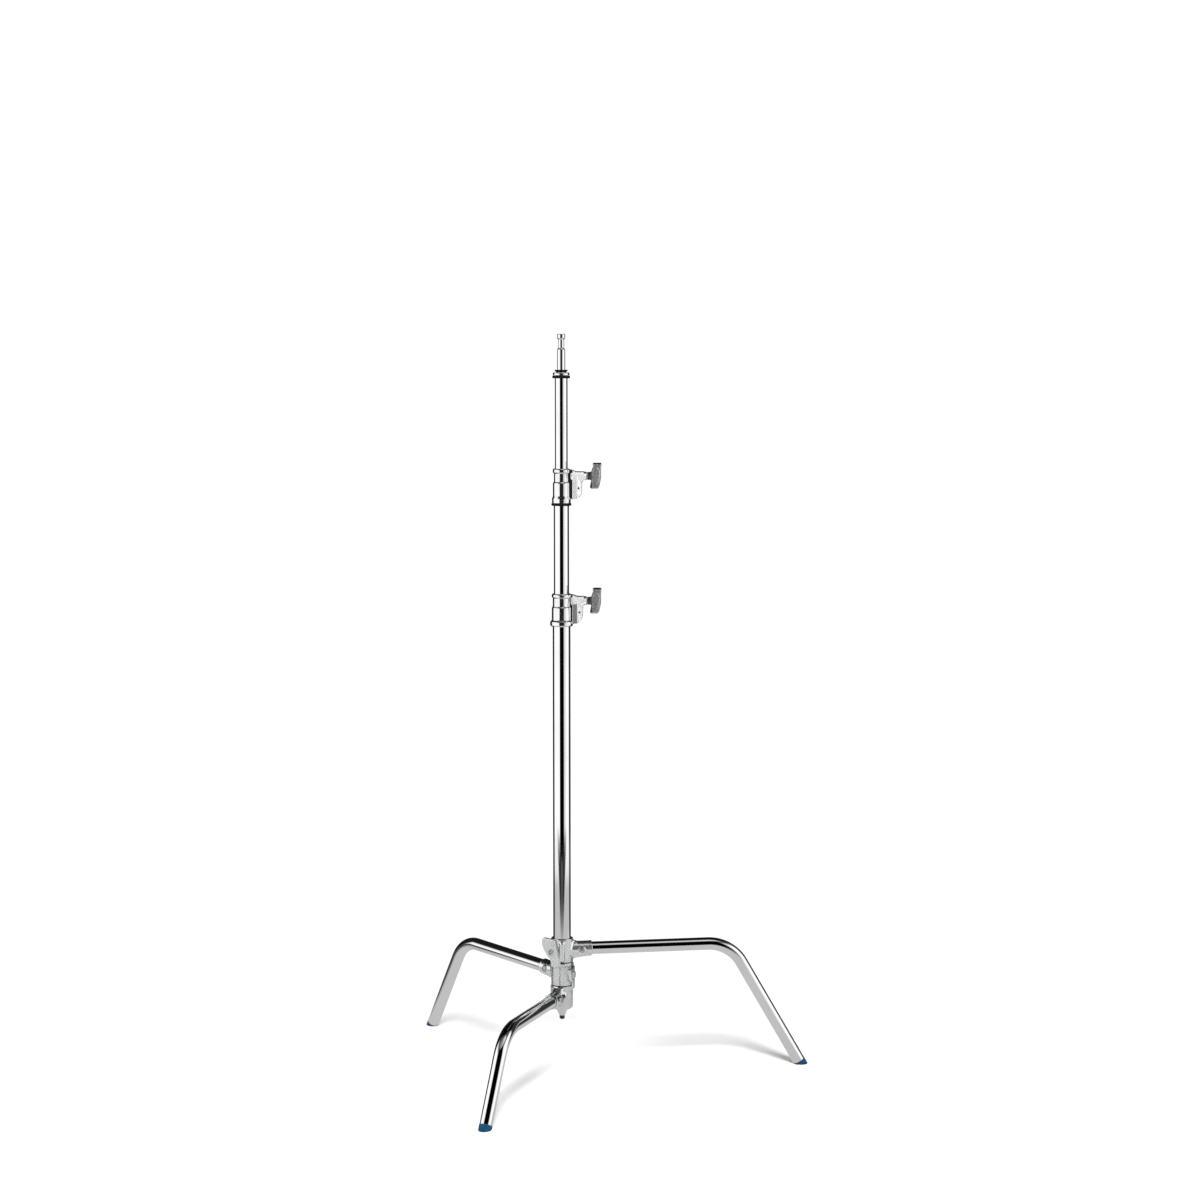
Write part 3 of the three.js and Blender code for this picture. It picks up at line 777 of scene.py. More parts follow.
def leg_foot(key):
    """Plug up inside the tube, a shoulder against its end and a wedge cut flat by the floor."""
    end_x = leg_end_x(key)
    cosine, sine = cos(radians(LEG_SLOPE)), sin(radians(LEG_SLOPE))

    def field(x, y, z):
        from_x, from_z = x - end_x, z - LEG_END_Z
        along = from_x * cosine - from_z * sine
        across = from_x * sine + from_z * cosine
        head = cylinder(across, y, along, 12.7, 0.3, 60, 0.7)
        spigot = cylinder(across, y, along, 10.6, -17, 5, 0.8)
        rib = cylinder(across, y, along, 10.85, -14.6, -12.6, 0.5)
        shape = union(union(head, spigot, 0.3), rib, 0.5)
        shape = common(shape, -z, 1.2)
        # shallow line round the sole
        groove = np.abs(z - 2.6) - 0.45
        skin = np.hypot(across, y) - 12.2
        return cut(shape, np.maximum(groove, -skin), 0.5)

    return net(field, (end_x - 26, -14, -1), (end_x + 26, 14, 27), 0.8, LEGS[key][2])


def leg_rivet(key):
    """Rivet across the socket, a domed head at each end."""
    z, _, azimuth = LEGS[key]
    half = [(0, 18.2), (2.0, 18.15), (4.4, 17.75), (5.7, 17.0), (6.0, 16.2), (3.0, 16.2)]
    radii = [0, 1.5, 1.5, 0.5, 0.15, 0.1]
    return lathe(mirrored(half), radii + radii[::-1], segments=48, arc=3, axis="Y",
                 origin=(RIVET_X, 0, z), azimuth=azimuth)


for key in LEGS:
    stand_in(key + "_leg_tube", leg_tube(key))
    stand_in(key + "_leg_foot", leg_foot(key))
    stand_in(key + "_leg_rivet", leg_rivet(key))

# ------------------------------------------------------------------ hub castings
HUBS = {"top": (230.4, 277.3), "middle": (183.8, 229.0), "bottom": (133.5, 182.4)}  # bottom, top
HUB_R = 21.7
HUB_BORE_R = COLUMN_R + 0.4
# Upright ear with a detent plunger: root height, top height, squash of its outline, pin height
EARS = {"middle": (222.4, 276.6, 1.0, 250.6), "bottom": (176.0, 221.9, 0.85, 205.0)}
# ear outline: place along the ear, height below its top, corner radius
EAR_OUTLINE = [
    (-3.5, 0, 3), (28.5, 0, 3), (31.4, -2.5, 2), (31.4, -13, 5), (29, -20, 6),
    (24.6, -27, 8), (17.9, -34.5, 8), (10.6, -40, 4), (8, -47, 3), (8, -60, 0),
    (-13, -60, 0), (-13, -36, 5), (-10.5, -26, 5), (-7, -11, 5),
]
EAR_PIN_ALONG = 5.8
EAR_AZIMUTH, POST_AZIMUTH = 100.0, -98.0                 # measured from the hub's leg
POST_AT, POST_R = 20.2, 5.6                              # distance from the axis, radius
EAR_OUT = (cos(radians(EAR_AZIMUTH)), sin(radians(EAR_AZIMUTH)))
EAR_ALONG = (EAR_OUT[1], -EAR_OUT[0])


def add_ear(shape, x, y, z, key, hub_top):
    """Ear on the hub: round the column on one side, a flat plate on the other."""
    root, top, squash, pin_z = EARS[key]
    points = [(along, top + max(drop * squash, root - top)) for along, drop, _ in EAR_OUTLINE]
    outline = rounded(points, [radius for _, _, radius in EAR_OUTLINE], 3)
    rho = np.hypot(x, y)
    out = x * EAR_OUT[0] + y * EAR_OUT[1]
    along = x * EAR_ALONG[0] + y * EAR_ALONG[1]
    plate = common(np.abs(out - 21.7) - 3.5, np.maximum(-along, along - 31.3), 0.8)
    curved = np.maximum(np.abs(rho - 23.75) - 1.45, np.maximum(along, -out))
    ear = common(np.minimum(curved, plate), polygon(along, z, outline), 1.8)
    foot = common(np.abs(rho - 21.35) - 1.85,
                  np.maximum(slab(z, root, hub_top), -out + 8), 0.6)
    foot = common(foot, np.maximum(-along - 19.5, along - 12), 0.6)
    shape = union(shape, union(ear, foot, 1.2), 2.2)
    # boss and stepped hole for the plunger
    from_pin = np.hypot(along - EAR_PIN_ALONG, z - pin_z)
    shape = union(shape, edge(from_pin - 6.5, np.maximum(22.6 - out, out - 27.9), 1.0), 1.2)
    shape = cut(shape, np.maximum(from_pin - 3.3, 15 - out), 0.7)
    shape = cut(shape, np.maximum(from_pin - 5.2, 25.6 - out), 0.5)
    # clearance above the hub for the next one up
    return cut(shape, np.maximum(rho - 22.3, hub_top - z), 0.4)


def hub_field(key):
    bottom, top = HUBS[key]
    leg_z = LEGS[key][0]
    post_x = POST_AT * cos(radians(POST_AZIMUTH))
    post_y = POST_AT * sin(radians(POST_AZIMUTH))
    post_top = top - (6.8 if key in EARS else 8.6)
    # webs above and below the socket
    web_top = rounded([(8, leg_z + 4), (8, top - 1.6), (19, min(top - 1.6, leg_z + 20)),
                       (28.5, leg_z + 14.2), (28.5, leg_z + 4)], [0, 0, 4, 3, 0], 3)
    web_low = rounded([(8, leg_z - 20.2), (21.5, leg_z - 20.2), (27, leg_z - 17.8),
                       (55.5, leg_z - 13.6), (55.5, leg_z - 6), (8, leg_z - 6)],
                      [0, 0, 5, 1.5, 0, 0], 3)

    def field(x, y, z):
        rho = np.hypot(x, y)
        if key == "bottom":
            taper = (rho - 17.2) * 0.72 - (z - bottom - 0.4) * 0.69
            low = common(bottom - z, taper, 2.5)
            shape = edge(rho - HUB_R, common(z - top, low, 0.5), 0.9)
        else:
            shape = edge(rho - HUB_R, slab(z, bottom, top), 0.9)
        socket = cylinder(y, z - leg_z, x, 14.8, 6, 59, 1.3)
        rim = cylinder(y, z - leg_z, x, 15.15, 54.6, 59, 1.2)
        shape = union(shape, union(socket, rim, 0.8), 3.5)
        shape = union(shape, prism(x, z, y, web_top, 8, 2.6), 3.5)
        shape = union(shape, prism(x, z, y, web_low, 6, 2.2), 4.0)
        rivet_boss = cylinder(x - RIVET_X, z - leg_z, y, 7.0, -15.9, 15.9, 0.9)
        shape = union(shape, rivet_boss, 1.4)
        # round-ended upright post on the barrel
        nearest = np.clip(z, bottom + 6.5, post_top)
        post = np.sqrt((x - post_x) ** 2 + (y - post_y) ** 2 + (z - nearest) ** 2) - POST_R
        shape = union(shape, post, 1.8)
        if key in EARS:
            shape = add_ear(shape, x, y, z, key, top)
        bore = rho - HUB_BORE_R
        if key == "bottom":
            # column seat, bolt hole and a wider recess from below
            bore = np.minimum(np.minimum(np.maximum(bore, 150 - z), rho - 5.5),
                              np.maximum(rho - 10.6, z - 146))
        shape = cut(shape, bore, 0.7)
        leg_hole = np.maximum(np.hypot(y, z - leg_z) - (LEG_R + 0.3), 24 - x)
        shape = cut(shape, leg_hole, 0.7)
        return cut(shape, np.hypot(x - RIVET_X, z - leg_z) - 3.3, 0.3)

    return field


for key, (bottom, top) in HUBS.items():
    if key in EARS:
        low, high = (-31, -27, bottom - 2), (61, 38, max(top, EARS[key][1]) + 2)
    else:
        low, high = (-24, -27, bottom - 2), (61, 24, top + 2)
    stand_in(key + "_hub_casting", net(hub_field(key), low, high, 0.8, LEGS[key][2]))


def detent_plunger(key):
    """Plunger drawn along X, then laid in its ear's out and along directions."""
    profile = [(0, 22.9), (3.0, 22.9), (3.0, 26.2), (1.5, 26.7), (1.4, 27.3), (0, 27.5)]
    ob = lathe(profile, [0, 0.3, 0.5, 0.3, 0.4, 0], segments=40, arc=3, axis="X")
    mesh = ob.data
    local = np.array([vertex.co for vertex in mesh.vertices]) * 1000 - [AXIS_X, AXIS_Y, 0]
    out, across, up = local.T
    along = EAR_PIN_ALONG + across
    points = np.stack([out * EAR_OUT[0] + along * EAR_ALONG[0],
                       out * EAR_OUT[1] + along * EAR_ALONG[1],
                       EARS[key][3] + up], 1)
    placed = place(points, LEGS[key][2])
    mesh.vertices.foreach_set("co", placed.astype(np.float32).ravel())
    flatten_faces(ob)
    return ob


for key in EARS:
    stand_in(key + "_detent_plunger", detent_plunger(key))

# ------------------------------------------------------------------ hub core
THREAD_R, THREAD_DEPTH, THREAD_PITCH = 4.0, 0.55, 1.25
THREAD_ROWS_PER_TURN = 10


def threaded(start, end, tip, segments, axis="Z", origin=(0, 0, 0), azimuth=0.0,
             plain_from=None):
    """Rod whose rings follow a helical thread, with a chamfer of length tip at each end.

    The rod has no thread beyond plain_from.
    """
    rows = int((end - start) / THREAD_PITCH * THREAD_ROWS_PER_TURN) + 1
    verts, faces = [(0, 0, start)], []
    for i in range(rows + 1):
        z = start + (end - start) * i / rows
        fade = min(1, (z - start) / tip, (end - z) / tip)
        for k in range(segments):
            angle = 2 * pi * k / segments
            phase = (z / THREAD_PITCH - k / segments) % 1.0
            groove = (1 - abs(2 * phase - 1)) * 1.25 - 0.12
            radius = THREAD_R - THREAD_DEPTH * min(max(groove, 0), 1)
            if plain_from is not None and z > plain_from:
                radius = THREAD_R
            radius = min(radius, THREAD_R - (1 - fade) * tip * 0.8)
            verts.append((radius * cos(angle), radius * sin(angle), z))
    verts.append((0, 0, end))
    last_ring = 1 + rows * segments
    for k in range(segments):
        l = (k + 1) % segments
        faces.append([0, 1 + l, 1 + k])
        for i in range(rows):
            low, high = 1 + i * segments, 1 + (i + 1) * segments
            faces.append([low + k, low + l, high + l, high + k])
        faces.append([last_ring + k, last_ring + l, len(verts) - 1])
    verts = np.array(verts, float)[:, AXIS_ORDER[axis]] + np.array(origin, float)
    return new_part(verts, faces, None, azimuth)


def hexagon(flats, bottom, top, bore=0, chamfer=0.9, chamfer_below=False):
    """Hexagonal head or nut, its top chamfered and, if asked, its underside too."""
    def field(x, y, z):
        rho = np.hypot(x, y)
        shape = np.full(x.shape, -1e9)
        for k in range(3):
            angle = radians(60 * k + 15)
            face = np.abs(x * cos(angle) + y * sin(angle)) - flats / 2
            shape = common(shape, face, 0.25)
        shape = edge(shape, slab(z, bottom, top), 0.25)
        corner = flats / 2 / cos(radians(30))
        shape = common(shape, (rho - corner + chamfer + (z - top) * 1.6) / 1.9, 0.2)
        if chamfer_below:
            shape = common(shape, (rho - corner + chamfer - (z - bottom) * 1.6) / 1.9, 0.2)
        if bore:
            shape = cut(shape, rho - bore, 0.25)
        return shape

    reach = flats * 0.62
    return net(field, (-reach, -reach, bottom - 0.8), (reach, reach, top + 0.8), 0.4)


def joined(first, second):
    """Two closed shells as one object."""
    bpy.context.view_layer.update()
    verts, faces, normals = [], [], []
    for ob in (first, second):
        start = len(verts)
        verts += [vertex.co[:] for vertex in ob.data.vertices]
        faces += [[i + start for i in face.vertices] for face in ob.data.polygons]
        normals += [tuple(normal.vector) for normal in ob.data.corner_normals]
    ob = add_object(verts, faces)
    ob.data.normals_split_custom_set(normals)
    ob.data.update()
    remove(first)
    remove(second)
    return ob


def spring(radius, wire, bottom, top, turns):
    """Round wire helix whose ends lie level and taper."""
    segments, steps_per_turn, level_turns = 14, 28, 0.45
    steps = int(turns * steps_per_turn)
    verts, normals, faces = [], [], []
    for i in range(steps + 1):
        turned = i / steps
        angle = 2 * pi * turns * turned
        climb = (turned * turns - level_turns) / (turns - 2 * level_turns)
        z = bottom + wire + (top - bottom - 2 * wire) * min(max(climb, 0), 1)
        wire_here = wire * (0.55 + 0.45 * min(1, i / 3, (steps - i) / 3))
        centre = np.array([radius * cos(angle), radius * sin(angle), z])
        outward = np.array([cos(angle), sin(angle), 0])
        for k in range(segments):
            around = 2 * pi * k / segments
            normal = outward * cos(around) + np.array([0, 0, 1.0]) * sin(around)
            verts.append(centre + normal * wire_here)
            normals.append(normal)
    for i in range(steps):
        faces += bridge(i * segments, (i + 1) * segments, segments)
    faces.append(list(range(segments)))
    faces.append([steps * segments + k for k in range(segments)][::-1])
    return new_part(np.array(verts), faces, np.array(normals))


stand_in("column_plug", lathe([(4.5, 153.2), (15.6, 153.2), (15.6, 161.0), (4.5, 161.0)], 0.5))
stand_in("hub_bolt", joined(threaded(112.4, 162.0, tip=1.2, segments=48),
                            hexagon(12.6, 161.3, 166.6)))
nut_collar = [(4.25, 113.3), (4.75, 113.3), (4.75, 116.0), (4.25, 116.0)]
stand_in("hub_nut", joined(hexagon(9.2, 113.9, 119.9, 4.25, 0.7, chamfer_below=True),
                           lathe(nut_collar, 0.2, segments=48)))
stand_in("spring_cup", lathe(
    [(4.4, 120.2), (5.6, 120.2), (6.4, 121.4), (10.1, 130.6), (10.2, 135.9), (8.8, 135.9),
     (8.4, 132.2), (4.4, 131.2)],
    [0.3, 0.6, 1.5, 2.0, 0.5, 0.4, 1.0, 0.3], segments=80))
stand_in("base_spring", spring(radius=7.6, wire=0.85, bottom=136.4, top=145.5, turns=3.25))
for node, bottom in (("hub_upper_washer", 229.3), ("hub_lower_washer", 182.7)):
    outline = [(18.0, bottom), (20.6, bottom), (20.6, bottom + 0.8), (18.0, bottom + 0.8)]
    stand_in(node, lathe(outline, 0.2, arc=3))

# ------------------------------------------------------------------ collars and clamps
CLAMP_AZIMUTH = -15.0
SHOE_PIN_HOLE_R = 1.9
HANDLE_PIN_X = 56.6

# Each collar grips a riser (riser = its radius) above the tube it sits on.
# barrel, pod and lobe: (distance from the axis, height, corner radius)
#   barrel is turned round the axis; pod and lobe are seen from the side of the arm
# boss_r: boss round the clamp screw; shoe_x: outer side of the shoe's lower end
LOWER = SimpleNamespace(
    name="lower", riser=MIDDLE_R, low_bore=COLUMN_R + 0.3, step_z=933.5,
    screw_z=949.5, boss_r=8.8, pin_x=36.0, pin_z=927.0, shoe_x=20.6,
    barrel=[(21.2, 899.0, 0.8), (22.6, 901.5, 1.4), (22.4, 908.2, 1.6), (19.15, 911.2, 1.6),
            (19.15, 935.8, 1.0), (17.3, 937.8, 0.9), (17.2, 954.2, 0.9), (19.2, 956.4, 1.0),
            (19.2, 961, 1.2), (17.6, 963, 0.6)],
    pod=[(12, 958, 0), (18.5, 962, 3), (22.5, 961.6, 3), (31.5, 958.1, 6), (43.4, 958.1, 0),
         (43.4, 943, 0), (42.1, 936, 6), (41.8, 923, 6), (40.6, 916, 4), (36.9, 908.5, 5),
         (31.5, 904.8, 5), (22, 904, 4), (12, 905, 0)],
    lobe=[(34.4, 946, 2), (42.0, 946, 1), (42.4, 936, 8), (42.2, 923, 6), (40.8, 916, 4),
          (37.2, 909, 4), (33.4, 911.5, 4), (32.6, 920, 6), (33.0, 935, 6)])
UPPER = SimpleNamespace(
    name="upper", riser=TOP_R, low_bore=MIDDLE_R + 0.3, step_z=1177.9,
    screw_z=1193.4, boss_r=8.3, pin_x=34.5, pin_z=1169.4, shoe_x=18.0,
    barrel=[(18.3, 1140.2, 0.7), (18.5, 1149.4, 1.2), (16.6, 1153.4, 1.4),
            (16.6, 1179.2, 1.0), (14.6, 1181.6, 0.9), (14.5, 1197.6, 0.9),
            (16.8, 1200.2, 0.9), (16.8, 1205.4, 1.1), (15.2, 1207.4, 0.6)],
    pod=[(10, 1202, 0), (16, 1206.2, 3), (20, 1205.6, 3), (29.5, 1201.5, 6),
         (43.4, 1201.5, 0), (43.4, 1187.4, 0), (40.4, 1179.4, 6), (40, 1165.4, 6),
         (39, 1158.4, 4), (35.4, 1151.8, 5), (30, 1148.6, 5), (20, 1148, 4), (10, 1149, 0)],
    lobe=[(32.9, 1190.4, 2), (40.4, 1190.4, 1), (40.6, 1179.4, 8), (40.4, 1165.4, 6),
          (39.4, 1158.4, 4), (35.8, 1152.4, 4), (32.0, 1154.9, 4), (31.1, 1163.4, 6),
          (31.4, 1179.4, 6)])


def rounded_rows(rows):
    """Outline from rows of (x, z, corner radius)."""
    return rounded([row[:2] for row in rows], [row[2] for row in rows], 3)


def collar_field(c):
    # the barrel's outline closes inside the axis
    inner_low, inner_high = (-6, c.barrel[0][1], 0), (-6, c.barrel[-1][1], 0)
    barrel = rounded_rows([inner_low] + c.barrel + [inner_high])
    pod = rounded_rows(c.pod)
    lobe = rounded_rows(c.lobe)
    # openings for the upper and lower parts of the brake shoe
    slot = [(c.riser - 3, c.screw_z - 13.4), (c.riser + 8.2, c.screw_z - 13.4),
            (c.riser + 8.2, c.screw_z + 9.5), (c.riser - 3, c.screw_z + 9.5)]
    pocket = [(c.shoe_x, c.screw_z - 6), (c.shoe_x, c.pin_z - 7), (c.pin_x + 2, c.pin_z - 7),
              (c.pin_x + 4.2, c.pin_z - 4), (c.pin_x + 4.2, c.pin_z + 6.5),
              (c.riser + 9.5, c.screw_z - 6)]

    def field(x, y, z):
        rho = np.hypot(x, y)
        shape = polygon(rho, z, barrel)
        shape = union(shape, prism(x, z, y, pod, 6.5, 1.6), 1.6)
        # the lobe's cheeks lean inwards towards its outer edge
        cheek = (np.abs(y) - (8.9 - 0.50 * (x - 33.4))) / 1.118
        shape = union(shape, common(polygon(x, z, lobe), cheek, 3.0), 0.9)
        boss = cylinder(y, z - c.screw_z, x, c.boss_r, 22, 49.9, 1.5)
        shape = union(shape, boss, 3.2)
        bore = np.minimum(np.maximum(rho - c.low_bore, z - c.step_z), rho - (c.riser + 0.4))
        shape = cut(shape, bore, 0.8)
        hole = np.minimum(polygon(x, z, slot), polygon(x, z, pocket))
        shape = cut(shape, np.maximum(hole, np.abs(y) - 4.6), 0.4)
        screw_hole = np.maximum(np.hypot(y, z - c.screw_z) - 4.3, c.riser + 6 - x)
        shape = cut(shape, screw_hole, 0.5)
        pin_hole = np.hypot(x - c.pin_x, z - c.pin_z) - SHOE_PIN_HOLE_R
        return cut(shape, np.maximum(pin_hole, np.abs(y) - 12), 0.5)

    return field


# T handle from the side: x, height from the clamp screw, corner radius
WING = [
    (63.3, 25.6, 1.6), (77, 25.6, 1.2), (78.3, 24.2, 1.2), (77.3, 8.7, 14), (77.6, -3.3, 14),
    (74.4, -19.0, 6), (72.4, -23.6, 2), (71, -24.8, 1.5), (59, -24.8, 1.6), (57, -22.8, 1.6),
    (56.6, -19.5, 3), (59, -8.5, 8), (58.8, 8.0, 8), (62, 17.2, 5), (62.2, 24.4, 1.0),
]


def handle_field(screw_z):
    wing = rounded_rows(WING)

    def field(x, y, z):
        up = z - screw_z
        share = np.clip((up + 24.9) / 50.6, 0, 1)
        half = 4.9 + 2.5 * np.sin(pi * share) ** 1.2
        # a raised lip round both ends
        from_lip = np.minimum(np.abs(up - 22.6), np.abs(up + 21.8))
        half = half + 0.55 * np.exp(-((from_lip) / 1.6) ** 2)
        side = (np.abs(y) - half) * 0.97
        outline = polygon(x, up, wing)
        body = edge(outline, side, 2.2)
        lips = edge(outline - 0.3 * np.exp(-((from_lip) / 1.5) ** 2), side, 2.0)
        neck = cylinder(y, up, x, 7.75, 53.9, 63.4, 0.9)
        shape = union(np.minimum(body, lips), neck, 3.0)
        shape = cut(shape, np.maximum(np.hypot(y, up) - 4.3, x - 61.4), 0.5)
        pin_hole = np.hypot(x - HANDLE_PIN_X, up) - 1.6
        shape = cut(shape, np.maximum(pin_hole, np.abs(y) - 12), 0.4)
        # shallow pressed dish in each face
        dish = np.hypot((x - 68.0 - 0.10 * up) / 0.46, up) - 15.5
        return cut(shape, np.maximum(dish * 0.46, half - 0.55 - np.abs(y)), 1.0)

    return field


def shoe_field(c):
    """Shoe beside the riser, with a round lug on its pin."""
    angles = [radians(30 - 22.5 * i) for i in range(9)]
    lug = [(c.pin_x + 3.5 * cos(angle), c.pin_z + 3.5 * sin(angle)) for angle in angles]
    outline = [(c.riser - 3, c.screw_z - 12.4), (c.riser - 3, c.screw_z + 8),
               (c.riser + 4.6, c.screw_z + 8), (c.riser + 5.4, c.screw_z + 7.2),
               (c.riser + 5.4, c.screw_z - 5.4), *lug, (c.shoe_x + 1, c.screw_z - 12.4)]

    def field(x, y, z):
        shape = prism(x, z, y, outline, 4.1, 0.5)
        shape = cut(shape, np.hypot(x, y) - c.riser - 0.3, 0.3)
        return cut(shape, np.hypot(x - c.pin_x, z - c.pin_z) - SHOE_PIN_HOLE_R, 0.3)

    return field


def clamp(c):
    """Collar, handle, brake shoe and the small turned parts between them."""
    def meshed(suffix, field, low, high, cell):
        stand_in(f"{c.name}_{suffix}", net(field, low, high, cell, CLAMP_AZIMUTH))

    def turned(suffix, profile, radii, x=0, z=c.screw_z, axis="X", segments=64):
        stand_in(f"{c.name}_{suffix}", lathe(profile, radii, segments, axis=axis,
                                             origin=(x, 0, z), azimuth=CLAMP_AZIMUTH))

    def pin(suffix, half, x, z):
        turned(suffix, mirrored(half), 0.2, x, z, "Y", 40)

    def washer(suffix, outer, start, end, radius):
        turned(suffix, [(4.4, start), (outer, start), (outer, end), (4.4, end)], radius)

    reach = max(row[0] for row in c.barrel)
    meshed("collar", collar_field(c), (-reach - 1.5, -reach - 1.5, c.barrel[0][1] - 1.5),
           (51.7, reach + 1.5, c.barrel[-1][1] + 1.5), 0.8)
    meshed("t_handle", handle_field(c.screw_z), (52.4, -10.5, c.screw_z - 27),
           (80.4, 10.5, c.screw_z + 28), 0.55)
    meshed("brake_shoe", shoe_field(c), (c.riser - 4, -5.5, c.pin_z - 5.5),
           (c.pin_x + 6, 5.5, c.screw_z + 10), 0.55)
    pin("shoe_pin", [(0, 8.0), (1.2, 8.0), (1.6, 7.6)], c.pin_x, c.pin_z)
    pin("handle_pin", [(0, 7.45), (0.9, 7.4), (1.25, 7.0)], HANDLE_PIN_X, c.screw_z)
    pad_start, pad_end = c.riser + 5.7, c.riser + 8.6
    turned("screw_pad", [(0, pad_start), (3.4, pad_start), (3.9, pad_end), (0, pad_end)],
           [0, 0.6, 0.4, 0])
    stand_in(f"{c.name}_clamp_screw",
             threaded(c.riser + 9.0, 60.8, tip=1.0, segments=40, axis="X",
                      origin=(0, 0, c.screw_z), azimuth=CLAMP_AZIMUTH, plain_from=50.9))
    washer("steel_washer", outer=7.3, start=50.3, end=52.3, radius=0.35)
    washer("fibre_washer", outer=8.0, start=52.6, end=53.6, radius=0.25)


clamp(LOWER)
clamp(UPPER)


# ------------------------------------------------------------------ guides, bumpers, cap and stud
def guide(bottom, bore, flange, sleeve):
    """Flange under a riser's end, with a sleeve up inside the riser."""
    shoulder, top = bottom + 3.7, bottom + 22
    return lathe([(bore, bottom), (flange, bottom), (flange, shoulder), (sleeve, shoulder),
                  (sleeve, top), (bore, top)], [0.5, 0.8, 0.3, 0.3, 0.8, 0.5])


stand_in("middle_riser_guide", guide(346, bore=10.5, flange=15.65, sleeve=13.0))
stand_in("top_riser_guide", guide(561.4, bore=8, flange=13.0, sleeve=10.6))

# node: outline of (radius, height, corner radius), steps in each corner
TURNED = {
    "upper_collar_bumper": (
        [(15.4, 1135.1, 0.4), (19.0, 1135.1, 1.2), (19.8, 1137.4, 1.4), (19.4, 1139.9, 0.8),
         (15.4, 1139.9, 0.4)], 5),
    "top_bumper_ring": (
        [(12.9, 1382.2, 0.4), (16.8, 1382.2, 1.4), (17.5, 1384.9, 1.6), (16.8, 1387.6, 1.4),
         (12.9, 1387.6, 0.4)], 5),
    "stud_cap": (
        [(0, 1355.4, 0), (10.7, 1355.4, 0.6), (10.7, 1387.9, 0.3), (16.0, 1387.9, 0.8),
         (16.5, 1391.8, 1.4), (15.3, 1393.6, 0.9), (8.4, 1393.6, 0.4), (8.4, 1362.4, 0.4),
         (0, 1362.4, 0)], 5),
    "stud_seat_ring": (
        [(8.4, 1393.9, 0.3), (9.6, 1393.9, 0.6), (12.9, 1397.0, 0.9), (12.5, 1399.0, 0.6),
         (8.4, 1398.0, 0.3)], 4),
    "stud": (
        [(0, 1362.7, 0), (8, 1362.7, 0.5), (8, 1437.8, 0.6), (6, 1440.6, 1.0),
         (6, 1457.2, 1.0), (8, 1459.6, 0.7), (8, 1466.8, 0.5), (7.2, 1468.0, 0.4),
         (0, 1468.0, 0)], 5),
}
for node, (rows, arc) in TURNED.items():
    stand_in(node, lathe([row[:2] for row in rows], [row[2] for row in rows], arc=arc))

# every CAD node gets its own material, for any that is not replaced
for node, ob in frame["nodes"].items():
    ob.data.materials.clear()
    ob.data.materials.append(MATERIAL[SLOT[node]])


# ------------------------------------------------------------------ floor, light, camera
def toward_and_side(x, y):
    """Level position, as distance toward the camera and to its right."""
    return x * TOWARD.x + y * TOWARD.y, x * SIDE.x + y * SIDE.y


def floor_paper():
    """Shaded paper near the stand, plain white beyond; polished metal sees its own version, a
    glowing painted reflection.

    Distances are in metres, azimuths in degrees away from the camera's side.
    """
    s = Surface("floor_paper")
    paper = s.noise(scale=900.0, detail=2.0, rough=0.6)
    s.shade(Roughness=0.9, Specular_IOR_Level=0.1)
    side_x = s.add("ShaderNodeVectorMath", {0: s.position, 1: tuple(SIDE)}, out="Value",
                   operation="DOT_PRODUCT")
    right = side_x - (SIDE.x * AXIS_X / 1000 + SIDE.y * AXIS_Y / 1000)
    # painted shade: the paper is darker to the right of the column, which deepens the leg shadows
    # there
    s.shade(Base_Color=s.mix(right.step(span=(0.08, 0.20)), s.mix(paper, 0.90, 0.93), 0.87))

    # painted reflection: polished metal sees the floor glow, bright at the sides, falling off
    # towards the camera
    x, y, z, distance = s.from_column()
    near, side = toward_and_side(x, y)
    azimuth = (side.math("ARCTAN2", near) * DEGREES).math("ABSOLUTE", 0.0)
    level = distance.step(span=(1.65, 2.1), to=(0.56, 1.0))
    wedge = azimuth - (distance - 1.4) * 34.0            # narrows inwards, 34 degrees a metre
    dark = (wedge.step(span=(17.0, 31.0), to=(1.0, 0.0))
            * distance.step(span=(0.95, 1.6), to=(0.0, 0.965)))
    core = azimuth.step(span=(3.0, 17.0), to=(0.07, 0.0)) * distance.step(span=(1.3, 1.6))
    back = (azimuth.step(span=(98.0, 112.0), to=(0.0, 0.9))
            * distance.step(span=(0.45, 0.95)))
    level = level * (1.0 - dark.max(back)) + core
    glow = s.white("ShaderNodeEmission", strength=level)
    away = distance.step(span=(2.1, 2.7)).max(z.step(span=(0.002, 0.01)))
    reflected = s.mix_shader(away, glow, s.add("ShaderNodeBsdfTransparent"))

    # where the camera sees glowing plain white instead of the shaded paper: far from the column
    # an even white floor, but near the column, behind it and in part on the left it is painted
    # light over the shadows
    white = s.white("ShaderNodeEmission", strength=1.04)
    from_spot = (near + 0.21).hypot(side)                # spot on the floor behind the column
    plain = distance.step(span=(0.50, 0.70)).max(from_spot.step(span=(0.10, 0.27),
                                                                to=(1.0, 0.0)))
    behind = (near.step(span=(-0.50, -0.38), to=(1.0, 0.0))
              * side.math("ABSOLUTE", 0.0).step(span=(0.10, 0.17), to=(1.0, 0.0)))
    plain = plain.max(behind).max(side.step(span=(-0.16, -0.06), to=(0.45, 0.0)))
    camera_ray, glossy_ray = s.rays()
    seen = s.mix_shader(plain * camera_ray, s.shader, white)
    s.put(s.mix_shader(glossy_ray, seen, reflected), s.output.inputs[0])


